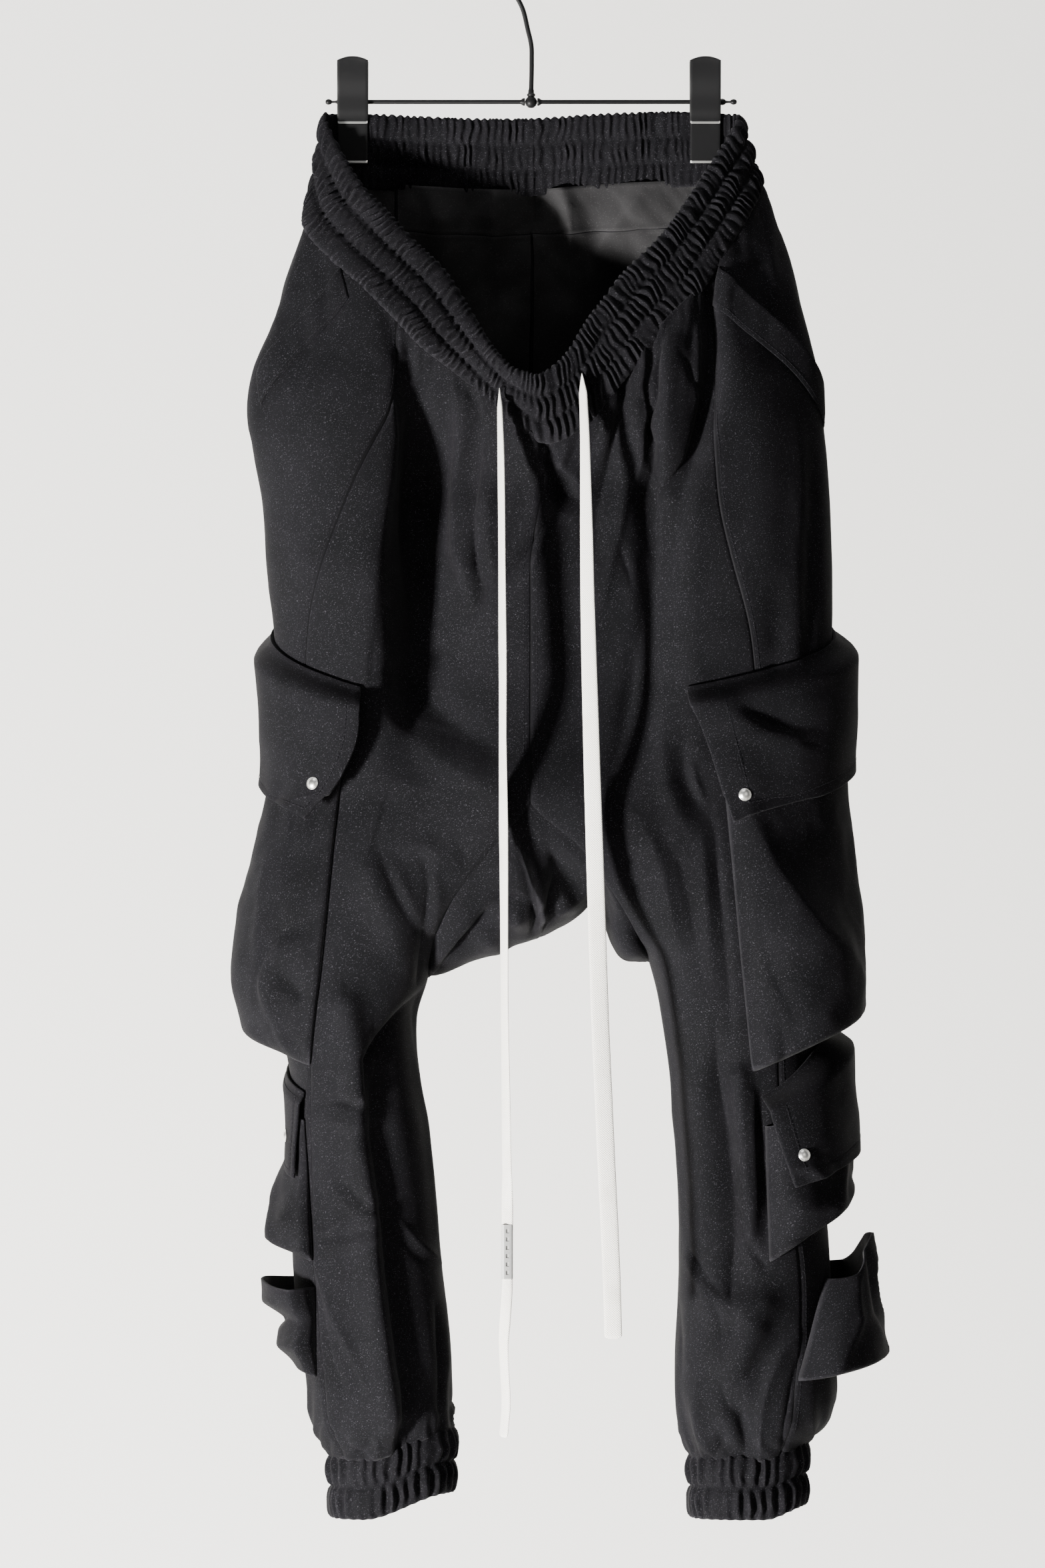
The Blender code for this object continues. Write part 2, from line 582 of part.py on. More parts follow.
def grid_mesh(name, rows, wrap_across=False, wrap_down=False):
    """A grid whose corners sit on the given places; wrapped edges are welded."""
    if wrap_across:
        rows = [row + [row[0]] for row in rows]
    if wrap_down:
        rows = rows + [rows[0]]
    down = len(rows) - 1
    across = len(rows[0]) - 1
    mesh = bpy.data.meshes.new(name)
    bm = bmesh.new()
    bmesh.ops.create_grid(bm, x_segments=across, y_segments=down, size=1.0)
    for vert in bm.verts:
        i = round((vert.co.x + 1.0) / 2.0 * across)
        j = round((vert.co.y + 1.0) / 2.0 * down)
        point = rows[j][i]
        vert.co = place(point.x, point.y, -point.z)
    if wrap_across or wrap_down:
        bmesh.ops.remove_doubles(bm, verts=bm.verts, dist=1e-6)
        bmesh.ops.recalc_face_normals(bm, faces=bm.faces)
    bm.to_mesh(mesh)
    bm.free()
    return mesh


def cloth_panel(name, rows, material, thickness=CLOTH):
    """A cloth wall that stands evenly to both sides of a grid."""
    obj = new_object(name, grid_mesh(name, rows), material)
    wall = obj.modifiers.new("wall", "SOLIDIFY")
    wall.thickness = thickness * MM
    wall.offset = 0.0
    return obj


def spread(start, end, count):
    """Evenly spaced numbers, both ends included."""
    return [mix(start, end, i / (count - 1)) for i in range(count)]


# ---------------------------------------------------------------- leg and hip panels
PANEL_COLUMNS = {
    "front": spread(0.0, 1.0, FRONT_COLUMNS),
    "side": SIDE_COLUMNS,
    "back": spread(2.0, 3.0, BACK_COLUMNS),
}


def level_of(drop):
    """Panel level of a drop below the fork."""
    return 1.0 + (drop - FORK_DROP) / (CUFF_DROP - FORK_DROP)


def panel_levels(side):
    """Levels of the rows of one half; those beside the gusset match its grid."""
    corner = GUSSET_CORNER[side]
    beside = [level_of(mix(FORK_DROP, corner, k / GUSSET_STEPS))
              for k in range(1, GUSSET_STEPS + 1)]
    return list(BODY_LEVELS) + beside + [level_of(drop) for drop in LEG_DROPS]


def make_panels(cloth):
    """Front, side and back panels of both halves, and the back yoke."""
    for side in "lr":
        for part, columns in PANEL_COLUMNS.items():
            levels = panel_levels(side)
            if part == "back":
                levels = [YOKE_LEVEL] + levels[2:]
            rows = [[panel_place(side, column, level) for column in columns]
                    for level in levels]
            cloth_panel(part + "_" + side, trimmed(rows), cloth)
    columns = [("l", column) for column in spread(2.0, 3.0, YOKE_COLUMNS)]
    columns += [("r", column) for column in spread(3.0, 2.0, YOKE_COLUMNS)[1:]]
    rows = [[panel_place(side, column, level) for side, column in columns]
            for level in spread(0.0, YOKE_LEVEL, YOKE_ROWS)]
    cloth_panel("back_yoke", trimmed(rows), cloth)


# ---------------------------------------------------------------- gusset
def seam_curve(side, part, share):
    """The gusset's edge on one half: front or back, from the fork to its corner."""
    drop = mix(FORK_DROP, GUSSET_CORNER[side], share)
    column = 0.0 if part == "front" else 3.0
    return wall_place(side, drop, column_angle(side, drop, column))


def gusset_place(s, t):
    """Blend of the four seam curves, sagging in the middle."""
    front_left = seam_curve("l", "front", t)
    front_right = seam_curve("r", "front", s)
    back_left = seam_curve("l", "back", 1.0 - s)
    back_right = seam_curve("r", "back", 1.0 - t)
    tips = ((seam_curve("l", "front", 0.0), seam_curve("l", "front", 1.0)),
            (seam_curve("r", "front", 1.0), seam_curve("r", "back", 0.0)))
    corners = (tips[0][0] * (1 - s) * (1 - t) + tips[0][1] * (1 - s) * t
               + tips[1][0] * s * (1 - t) + tips[1][1] * s * t)
    point = (front_left * (1 - s) + back_right * s + front_right * (1 - t)
             + back_left * t - corners)
    hang = 16.0 * s * (1 - s) * t * (1 - t)
    point.z -= GUSSET_SAG * hang * (1.0 - GUSSET_SKEW * (s - t))
    return point


def make_gusset(cloth):
    """The diamond between the legs."""
    count = GUSSET_STEPS + 1
    rows = [[gusset_place(s, t) for s in spread(0.0, 1.0, count)]
            for t in spread(0.0, 1.0, count)]
    cloth_panel("gusset", trimmed(trimmed(trimmed(rows))), cloth)


# ---------------------------------------------------------------- gathered bands
def band_rows(station_at, count, ribs, gathers, rise, calm):
    """Rows round a gathered band: a relief outside and a plain face inside."""
    marks = [i / BAND_FINE for i in range(count * BAND_FINE + 1)]
    centres = [station_middle(station_at(mark)) for mark in marks]
    lengths = [0.0]
    for a, b in zip(centres, centres[1:]):
        lengths.append(lengths[-1] + (b - a).length)
    rows = []
    columns = gathers * 2
    cursor = 0
    for k in range(columns):
        target = lengths[-1] * k / columns
        while lengths[cursor + 1] < target:
            cursor += 1
        share = (target - lengths[cursor]) / (lengths[cursor + 1] - lengths[cursor])
        mark = mix(marks[cursor], marks[cursor + 1], share)
        station = station_at(mark)
        top = Vector((station.x, station.y, -station.drop))
        low = Vector((station.x_low, station.y_low, -station.drop_low))
        after = station_middle(station_at(mark + 0.02))
        before = station_middle(station_at(mark - 0.02))
        outward = (low - top).cross(after - before).normalized()
        wave = (1.0 if k % 2 else -1.0) * mix(0.7, 1.25, scatter(k // 2))
        wave *= calm(top)
        row = []
        for rib in ribs:
            swing = wave * rib.gather * rise
            row.append(top.lerp(low, rib.height) + outward * (rib.out + swing))
        for height in (1.0, 0.0):
            row.append(top.lerp(low, height) - outward * BAND_INNER)
        row[0] += (top - low).normalized() * wave * EDGE_WAVE_TOP
        row[len(ribs) - 1] += (low - top).normalized() * wave * EDGE_WAVE_LOW
        rows.append(row)
    return rows


def station_middle(station):
    """Middle of a band between its two edges."""
    top = Vector((station.x, station.y, -station.drop))
    low = Vector((station.x_low, station.y_low, -station.drop_low))
    return (top + low) / 2


def waist_station(mark):
    """The waistband's edges at a fractional station number."""
    return read_loop(BAND_STATIONS, mark)


def cuff_station(side, mark):
    """A cuff's edges at a mark from 0 to 1 round the leg's end."""
    section = read_section(side, CUFF_DROP)
    half, centre = half_axes(section, side)
    x = half * signed_power(cos(2.0 * pi * mark), SIDE_POWER)
    y = (section.back - section.front) / 2 * signed_power(sin(2.0 * pi * mark), SIDE_POWER)
    top = CUFF_DROP + CUFF_GAP
    return Station(centre + x, y, top, centre + x * CUFF_FLARE, y * CUFF_FLARE,
                   top + CUFF_HEIGHT)


def clip_calm(top):
    """Gathers are pressed flat where a clip bites."""
    if top.y < -CLIP_EASE:
        return 1.0
    nearest = min(abs(top.x - x) for x in CLIP_X.values())
    return mix(CLIP_PRESS, 1.0, smooth((nearest - CLIP_WIDTH / 2) / CLIP_EASE))


def make_bands(cloth):
    """The waistband and both cuffs."""
    rows = band_rows(waist_station, len(BAND_STATIONS), WAIST_RIBS, WAIST_GATHERS,
                     WAIST_RISE, clip_calm)
    new_object("waistband", grid_mesh("waistband", rows, True, True), cloth)
    for side in "lr":
        def station_at(mark, side=side):
            return cuff_station(side, mark)
        rows = band_rows(station_at, 1, CUFF_RIBS, CUFF_GATHERS, CUFF_RISE,
                         lambda top: 1.0)
        name = "cuff_" + side
        new_object(name, grid_mesh(name, rows, True, True), cloth)


# ---------------------------------------------------------------- pockets
def bag_place(bag, across, down, lift):
    """A place over the bag's footprint, lifted off the panel."""
    drop_front = mix(bag.drop_mouth, bag.drop_bottom, down)
    drop_back = mix(bag.back_mouth, bag.back_bottom, down)
    x_front = mix(bag.x_mouth, bag.x_bottom, down)
    front = angle_at(read_section(bag.side, drop_front), bag.side, x_front)
    angle = mix(front, -bag.wrap, across)
    return lifted_wall(bag.side, mix(drop_front, drop_back, across), angle, lift)


def make_bag(bag, cloth):
    """A tray of cloth: walls rise from its seams to a crowned face, mouth open."""
    top_left = bag_place(bag, 0.0, 0.0, 0.0)
    top_right = bag_place(bag, 1.0, 0.0, 0.0)
    width = max((top_right - top_left).length, 60.0) * 1.15
    rows = []
    for down in BAG_ROWS:
        inset = mix(bag.inset_mouth, bag.inset_bottom, down) / width
        depth = mix(bag.deep_mouth, bag.deep_bottom, smooth((down - 0.2) / 0.75))
        marks = [0.0] + spread(inset, 0.95, BAG_COLUMNS) + [1.0]
        row = []
        for across in marks:
            ridge = mix(bag.front_share, 1.0, smooth(across / 0.45))
            sewn = across in (0.0, 1.0) or down == 1.0
            lift = bag.sewn if sewn else LIFT + depth * ridge
            row.append(bag_place(bag, across, down, lift))
        rows.append(row)
    cloth_panel(bag.name, rows, cloth)


def flap_place(flap, across, down, lift):
    """A place over the flap's footprint, lifted off the panel."""
    drop_front = mix(flap.drop_top, flap.drop_low, down)
    drop_back = mix(flap.back_top, flap.back_low, down)
    x_front = mix(flap.x_top, flap.x_low, down)
    front = angle_at(read_section(flap.side, drop_front), flap.side, x_front)
    angle = mix(front, -flap.wrap, across)
    return lifted_wall(flap.side, mix(drop_front, drop_back, across), angle, lift)


def flap_surface(flap, across, down):
    """Middle of a flap: sewn down along its top, clear of the bag below."""
    rise = smooth(down / 0.15)
    corner = flap.corner * (1.0 - smooth(across / 0.5)) * down
    lift = mix(flap.sewn, LIFT + flap.stand, rise) + corner
    return flap_place(flap, across, down, lift)


def make_flap(flap, cloth, silver):
    """A pocket flap and its snap cap."""
    rows = [[flap_surface(flap, across, down) for across in spread(0.0, 1.0, FLAP_COLUMNS)]
            for down in FLAP_ROWS]
    cloth_panel(flap.name, rows, cloth)

    def sample(across, down):
        return flap_surface(flap, across, down)
    base = sample(flap.snap_across, flap.snap_down)
    outward = outward_at(sample, flap.snap_across, flap.snap_down, 0.06, 0.1,
                         from_axis(flap.side, base))
    make_snap(flap.name.replace("flap", "snap"), base, outward, silver)


def make_snap(name, base, outward, silver):
    """A low domed snap cap on a flap."""
    mesh = bpy.data.meshes.new(name)
    bm = bmesh.new()
    radius = SNAP_DIAMETER / 2 * MM
    bmesh.ops.create_cone(bm, cap_ends=True, segments=SNAP_SIDES, radius1=radius,
                          radius2=radius, depth=SNAP_HEIGHT * MM)
    rim = [edge for edge in bm.edges if all(v.co.z > 0 for v in edge.verts)]
    bmesh.ops.bevel(bm, geom=rim, offset=SNAP_EDGE * MM, segments=1, profile=0.5,
                    affect="EDGES", material=-1)
    away = SNAP_HEIGHT / 2 + CLOTH / 2 + SNAP_GAP
    centre = base + outward * away
    turn = outward.to_track_quat("Z", "Y").to_matrix().to_4x4()
    move = Matrix.Translation(place(centre.x, centre.y, -centre.z))
    bmesh.ops.transform(bm, verts=bm.verts, matrix=move @ turn)
    bm.to_mesh(mesh)
    bm.free()
    new_object(name, mesh, silver)


def make_hand_pocket(pocket, cloth):
    """A hemmed facing along the slanted mouth of a hand pocket."""
    rows = []
    for share in spread(0.0, 1.0, FACING_ROWS):
        column = mix(pocket.column, pocket.column_end, share)
        level = mix(pocket.level, pocket.level_end, share ** 1.15)
        rows.append([lifted_panel(pocket.side, column - 0.028 * k, level + 0.02 * k,
                                  pocket.sewn + (1.0 - k / 2) * 2.4 * sin(pi * share))
                     for k in range(FACING_COLUMNS)])
    cloth_panel(pocket.name, rows, cloth)


# ---------------------------------------------------------------- hanger
def wire(name, points, diameter, resolution, material):
    """A round wire along points in metres, with filled ends."""
    curve = bpy.data.curves.new(name, "CURVE")
    curve.dimensions = "3D"
    curve.bevel_depth = diameter / 2 * MM
    curve.bevel_resolution = resolution
    curve.use_fill_caps = True
    spline = curve.splines.new("POLY")
    spline.points.add(len(points) - 1)
    for target, point in zip(spline.points, points):
        target.co = (*point, 1.0)
    obj = bpy.data.objects.new(name, curve)
    obj.data.materials.append(material)
    bpy.context.collection.objects.link(obj)
    return obj


def read_route(points, step):
    """Evenly spaced points on a smooth curve through a route."""
    dense = []
    last = len(points) - 1
    for k in range(last):
        a, b = points[max(k - 1, 0)], points[k]
        c, d = points[k + 1], points[min(k + 2, last)]
        for i in range(12):
            share = i / 12
            dense.append(Vector([hermite(q, r, (r - p) / 2, (s - q) / 2, share)
                                 for p, q, r, s in zip(a, b, c, d)]))
    dense.append(points[-1].copy())
    lengths = [0.0]
    for a, b in zip(dense, dense[1:]):
        lengths.append(lengths[-1] + (b - a).length)
    count = max(round(lengths[-1] / step), 2)
    read = []
    cursor = 0
    for k in range(count + 1):
        target = lengths[-1] * k / count
        while cursor < len(dense) - 2 and lengths[cursor + 1] < target:
            cursor += 1
        share = (target - lengths[cursor]) / (lengths[cursor + 1] - lengths[cursor])
        read.append(dense[cursor].lerp(dense[cursor + 1], min(share, 1.0)))
    return read


def lathe(name, turns, sides, material):
    """A turned piece along X from (x, radius) pairs, closed at both ends."""
    rows = []
    for x, radius in turns:
        rows.append([Vector((x, radius * cos(2 * pi * k / sides),
                             radius * sin(2 * pi * k / sides))) for k in range(sides)])
    mesh = grid_mesh(name, rows, wrap_across=True)
    bm = bmesh.new()
    bm.from_mesh(mesh)
    bmesh.ops.holes_fill(bm, edges=[e for e in bm.edges if e.is_boundary], sides=sides)
    bmesh.ops.recalc_face_normals(bm, faces=bm.faces)
    bm.to_mesh(mesh)
    bm.free()
    return new_object(name, mesh, material)


def make_hanger(steel):
    """Bar, centre ball, hook and the two clips."""
    half = BAR_LENGTH / 2
    ball_half = BALL_DIAMETER / 2
    for side, sign in SIGN.items():
        turns = [(BAR_CENTRE_X + sign * (ball_half + BALL_GAP), BAR_TURNS[0].radius)]
        turns += [(BAR_CENTRE_X + sign * half * turn.share, turn.radius)
                  for turn in BAR_TURNS[1:]]
        lathe("bar_" + side, turns, BAR_SIDES, steel)
    mesh = bpy.data.meshes.new("ball")
    bm = bmesh.new()
    bmesh.ops.create_uvsphere(bm, u_segments=12, v_segments=8, radius=ball_half * MM)
    bmesh.ops.translate(bm, verts=bm.verts, vec=place(BAR_CENTRE_X, 0.0, 0.0))
    bm.to_mesh(mesh)
    bm.free()
    new_object("ball", mesh, steel)
    radius = HOOK_INNER_RADIUS + HOOK_WIRE / 2
    centre_drop = BAR_Z + HOOK_INNER_RADIUS
    points = [place(x + BAR_CENTRE_X * (1.0 - drop / HOOK_NECK[-1][1]), 0.0, drop)
              for x, drop in HOOK_NECK]
    for degrees_round in range(*HOOK_TURN):
        turn = radians(degrees_round)
        points.append(place(radius * cos(turn), 0.0, centre_drop - radius * sin(turn)))
    wire("hook", read_route(points, HOOK_STEP * MM), HOOK_WIRE, 2, steel)
    for side in "lr":
        make_clip(side, steel)


def make_clip(side, steel):
    """Two bent plates that close on the waistband, and the spring round the bar."""
    for face, sign in (("front", -1.0), ("back", 1.0)):
        rows = []
        for bend in CLIP_BENDS:
            row = []
            for share in (-0.5, 0.0, 0.5):
                arch = CLIP_ARCH if bend is CLIP_BENDS[0] and share == 0.0 else 0.0
                row.append(Vector((CLIP_X[side] + share * CLIP_WIDTH,
                                   sign * (bend.away + CLIP_PLATE / 2),
                                   -(bend.drop - arch))))
            rows.append(row)
        name = "clip_" + face + "_" + side
        cloth_panel(name, rows, steel, CLIP_PLATE)
    rows = []
    for end, radius in ((-0.5, SPRING_OUTER), (0.5, SPRING_OUTER), (0.5, SPRING_INNER),
                        (-0.5, SPRING_INNER)):
        x = CLIP_X[side] + end * SPRING_LENGTH
        turns = [2 * pi * k / SPRING_SIDES for k in range(SPRING_SIDES)]
        rows.append([Vector((x, radius * cos(turn), radius * sin(turn))) for turn in turns])
    name = "clip_spring_" + side
    new_object(name, grid_mesh(name, rows, True, True), steel)


# ---------------------------------------------------------------- drawcords
def make_cords(cord, silver):
    """The two free ends of the drawcord and the metal crimp on the left one."""
    for side, route in CORD_ROUTES.items():
        points = [place(*point) for point in route]
        wire("drawcord_" + side, read_route(points, CORD_STEP * MM), CORD_DIAMETER, 2, cord)
    start, end = CLAMP_DROPS
    middle = CORD_ROUTES["l"][CLAMP_POINT]
    rows = []
    for drop, half in ((start, CLAMP_SIDE / 2), (end, CLAMP_SIDE / 2),
                       (end, CLAMP_BORE / 2), (start, CLAMP_BORE / 2)):
        cut = half * CLAMP_CUT
        corners = ((half, cut), (cut, half), (-cut, half), (-half, cut),
                   (-half, -cut), (-cut, -half), (cut, -half), (half, -cut))
        rows.append([Vector((middle.x + x, middle.y + y, -drop)) for x, y in corners])
    new_object("cord_clamp", grid_mesh("cord_clamp", rows, True, True), silver)


def main():
    """Build the hanger, the trousers and the drawcord."""
    for obj in list(bpy.data.objects):
        bpy.data.objects.remove(obj, do_unlink=True)
    cloth = make_material("black_jersey", CLOTH_COLOUR, 0.9, 0.0)
    steel = make_material("black_steel", PAINTED_STEEL_COLOUR, 0.4, 0.0)
    cord = make_material("white_braid", CORD_COLOUR, 0.95, 0.0)
    silver = make_material("silver", SILVER_COLOUR, 0.25, 1.0)
    make_bands(cloth)
    make_panels(cloth)
    make_gusset(cloth)
    for bag in BAGS:
        make_bag(bag, cloth)
    for flap in FLAPS:
        make_flap(flap, cloth, silver)
    for pocket in HAND_POCKETS:
        make_hand_pocket(pocket, cloth)
    make_hanger(steel)
    make_cords(cord, silver)


main()
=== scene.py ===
"""Cargo harem pants hanging by the back waistband from a clip hanger.

Sizes are in millimetres until a mesh is made: x to the right, y to the back and z as
minus the drop below the hanger's bar.  The garment's front faces -Y.
"""
import logging
from dataclasses import dataclass, field
from enum import Enum
from math import cos, pi, radians, sin
from typing import NamedTuple, Optional, Sequence

import bmesh
import bpy
import numpy as np
from mathutils import Matrix, Vector, noise


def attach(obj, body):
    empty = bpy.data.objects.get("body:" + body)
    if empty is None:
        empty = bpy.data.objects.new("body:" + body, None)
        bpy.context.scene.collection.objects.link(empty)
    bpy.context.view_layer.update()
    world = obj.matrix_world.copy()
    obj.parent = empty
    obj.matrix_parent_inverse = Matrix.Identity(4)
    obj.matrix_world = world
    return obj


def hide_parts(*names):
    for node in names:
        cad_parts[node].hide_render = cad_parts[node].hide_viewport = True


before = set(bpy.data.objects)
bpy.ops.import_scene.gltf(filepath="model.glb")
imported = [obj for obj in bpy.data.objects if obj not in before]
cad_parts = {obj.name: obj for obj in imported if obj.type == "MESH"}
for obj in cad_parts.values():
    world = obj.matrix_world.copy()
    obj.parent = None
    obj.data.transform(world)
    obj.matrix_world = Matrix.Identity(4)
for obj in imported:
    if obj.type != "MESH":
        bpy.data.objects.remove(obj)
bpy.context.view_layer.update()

Array = np.ndarray
Material = bpy.types.Material
Mesh = bpy.types.Mesh
Piece = bpy.types.Object
Socket = bpy.types.NodeSocket
LOG = logging.getLogger("harem_pants")

MM = 0.001
BAR_Z = -123.0                  # the bar below the hook's inner top
CLOTH = 1.8                     # wall of a cloth panel
FORK_DROP = 492.6               # tips of the gusset
CUFF_DROP = 961.0               # lower edge of the leg panels
CENTRE_X = 1.4                  # centre-front and centre-back seams
YOKE_LEVEL = 0.075              # lower edge of the yoke, from 0 at the band to 1 at the fork
WAIST_FADE = 0.38               # level by which the panels have left the band's outline
SIDE_POWER = 0.88               # below 1 it makes the plan sections squarer than an ellipse
HALF_DEPTH = 50.0               # rough depth that decides which way is out
# How far the front hangs back between the hips, and where: start, rise, end and fall.
BELLY = 23.0
BELLY_DROPS = (212.0, 66.0, 500.0, 95.0)
BELLY_X = (-106.0, 28.0, 120.0, 52.0)
# How far it comes forward at the fork: the middle and reach in drop and in x.
CROTCH = 7.0
CROTCH_DROP = (500.0, 30.0)
CROTCH_X = (4.0, 62.0)
FRONT_DEPTH = 1.35              # how much deeper than in the table the creases are
BACK_DEPTH = 1.25               # and the same for those of the back


class Side(Enum):
    """Left and right halves, as seen from the front."""

    LEFT = "l"
    RIGHT = "r"

    @property
    def sign(self) -> float:
        """-1 on the left and 1 on the right."""
        return -1.0 if self is Side.LEFT else 1.0


class Held(Enum):
    """How a cloth piece is held."""

    HUNG = "hung"
    GATHERED = "gathered"


class Slot(Enum):
    """Names of the material slots."""

    CLOTH = "black_jersey"
    STEEL = "black_steel"
    BRAID = "white_braid"
    SILVER = "silver"


# ------------------------------------------------------------------ tables
# Plan sections of one half: drop, outermost x, x of the front/side seam, x of the inner
# edge, degrees that the wall turns in, y of the front and back middle lines.
SECTIONS = {
    Side.LEFT: np.array([
        (40, -150, -94, 1.4, 0, -34, 6), (87, -160, -94.5, 1.4, 0, -50, 12),
        (124.5, -170, -94.5, 1.4, 0, -62, 18), (157.5, -177, -94.5, 1.4, 0, -72, 24),
        (190.8, -191, -95.5, 1.4, 0, -80, 30), (218.5, -196, -101, 1.4, 0, -84, 36),
        (251.5, -193, -114.7, 1.4, 0, -87, 41), (284.8, -187, -128, 1.4, 0, -88, 45),
        (329, -183.5, -144.8, 1.4, 0, -88, 48), (367.5, -179.5, -154, 1.4, 0, -86, 51),
        (410, -175.5, -156, 1.4, 0, -84, 53), (457.3, -172, -155, 1.4, 0, -82, 55),
        (492.6, -173, -153.7, 1.4, 0, -80, 57), (521.7, -177, -152, -25.4, 14, -78, 58),
        (557.9, -182, -152, -52.2, 32, -76, 58), (590.8, -184, -152.8, -67.2, 60, -73, 58),
        (620.9, -182, -153.7, -72, 90, -70, 57), (650, -175, -153, -80, 90, -67, 55),
        (690, -168, -153, -78.5, 90, -63, 53), (733, -164, -153, -71.9, 90, -60, 52),
        (780, -165, -152, -66.3, 90, -58, 50), (825, -166, -150.8, -62, 90, -56, 50),
        (870, -162, -148, -56.9, 90, -54, 50), (910, -156, -143, -55.5, 90, -51, 48),
        (940, -151, -138, -54.5, 90, -46, 44), (961, -139.5, -128, -53.5, 90, -36, 36),
    ]),
    Side.RIGHT: np.array([
        (40, 158, 133, 1.4, 0, -34, 6), (87, 177, 133.5, 1.4, 0, -50, 12),
        (119, 188, 133.5, 1.4, 0, -60, 18), (151.8, 194.5, 131.6, 1.4, 0, -70, 24),
        (196.5, 203.5, 130.7, 1.4, 0, -80, 31), (240.6, 208.7, 130, 1.4, 0, -85, 38),
        (284.8, 212.4, 133, 1.4, 0, -88, 45), (320.5, 214.3, 141, 1.4, 0, -88, 48),
        (367.5, 214.5, 153.7, 1.4, 0, -86, 51), (406.6, 213, 159.3, 1.4, 0, -84, 53),
        (450.7, 211, 163, 1.4, 0, -82, 55), (492.6, 209, 166, 1.4, 0, -80, 57),
        (525, 208, 168, 39, 14, -78, 58), (558, 207.7, 170, 62, 32, -76, 58),
        (589, 207, 172.5, 77.5, 60, -73, 58), (612, 206.5, 173, 87, 90, -70, 57),
        (650, 205, 175, 95, 90, -67, 55), (694, 206, 176, 103, 90, -64, 53),
        (733, 208.5, 178, 106, 90, -61, 52), (780, 210, 184, 108, 90, -59, 51),
        (825, 213, 191, 107, 90, -58, 51), (870, 214, 192, 104.8, 90, -56, 50),
        (910, 218, 188, 104.8, 90, -53, 48), (940, 212, 185, 109, 90, -47, 44),
        (961, 196, 178, 115.5, 90, -36, 36),
    ]),
}

# The waistband's upper and lower edges from centre back over the left side to centre
# front and back over the right side: x, y, drop above and x, y, drop below.
BAND_STATIONS = np.array([
    (3.3, 4, 11.8, 3.3, 14, 65.8), (-43.7, 3, 11.8, -43.7, 12, 65.5),
    (-90.7, 1.2, 9.9, -90.7, 8, 63), (-108, -0.5, 9, -108.5, -0.5, 62.5),
    (-137.5, -0.5, 8.6, -140, -0.5, 61), (-144, -9, 13, -153, -5, 66),
    (-120, -27, 56.9, -160, -24, 88), (-101, -36, 77.6, -142.4, -40, 111.4),
    (-82.3, -45, 98.7, -121.3, -54, 130.2), (-58.3, -54, 122.7, -95.4, -66, 155.6),
    (-41.4, -62, 149.5, -76.1, -72, 176.3), (-27.3, -71, 173, -50.5, -68, 196),
    (-13.2, -79, 189.9, -24.6, -68, 218), (-1.4, -83, 195, -4, -73, 236),
    (8.9, -84, 196, 14.6, -77, 244.9), (25.4, -80, 182.8, 40.9, -77, 231.7),
    (40.4, -72, 158.9, 67, -75, 201.2), (54, -64, 140.5, 88.2, -71, 174.6),
    (67.7, -57, 122.7, 102, -65, 158.4), (91.7, -46, 98.7, 121.7, -56, 137.7),
    (109.5, -36, 74.7, 141, -44, 107), (126.5, -24, 48.4, 158, -28, 79),
    (147.5, -9.5, 14, 165, -8, 60), (141, -0.5, 8.8, 145, -0.5, 60),
    (108, -0.5, 7.2, 108.5, -0.5, 60.5), (53, 3, 8.5, 53, 12, 62.5),
])
BAND_SEAMS = {Side.LEFT: (14.0, 9.0, 2.1, 0.0), Side.RIGHT: (14.0, 19.7, 23.6, 26.0)}
CLIP_X = {Side.LEFT: -124.6, Side.RIGHT: 125.4}
# How far a hem rides up, the x where that starts and the width over which it grows.
RIDE_UP = {Side.LEFT: (18.0, -118.0, 62.0), Side.RIGHT: (9.0, 166.0, 32.0)}
RIDE_UP_DROPS = (880.0, 78.0)
# Rows of stitches: panel column, distance from the seam, first and last level.
SEAM_ROWS = ((0.0, 5.0, 0.02, 1.0), (1.0, 4.0, 0.01, 1.97), (2.0, 4.0, 0.01, 1.97),
             (3.0, -5.0, 0.09, 1.0))


class Gather(NamedTuple):
    """Pleats beside an elastic edge: their size and stretch, and how they fade away."""

    size: float
    stretch: float
    seed: float
    height: float
    fade: float
    start: float


GATHERS = {
    "band": (Gather(13.0, 0.25, 3.0, 3.4, 62.0, 12.0), Gather(5.0, 0.12, 11.0, 1.5, 24.0, 5.0)),
    "cuff": (Gather(15.0, 0.2, 19.0, 4.6, 46.0, 10.0), Gather(6.5, 0.2, 23.0, 1.6, 20.0, 4.0)),
}


class Crease(NamedTuple):
    """A crease laid over the folds: its two half widths, how crisp it is and its line.

    The line has x, drop and rise.  For a line that runs down, left and right are as seen
    flat; below 2 the power gives a crisper crest.
    """

    left: float
    right: float
    power: float
    line: Array


def creases(*rows: Sequence[float]) -> tuple:
    """Creases from rows of both widths, the power and then each place and its rise."""
    return tuple(Crease(*row[:3], np.reshape(row[3:], (-1, 3))) for row in rows)


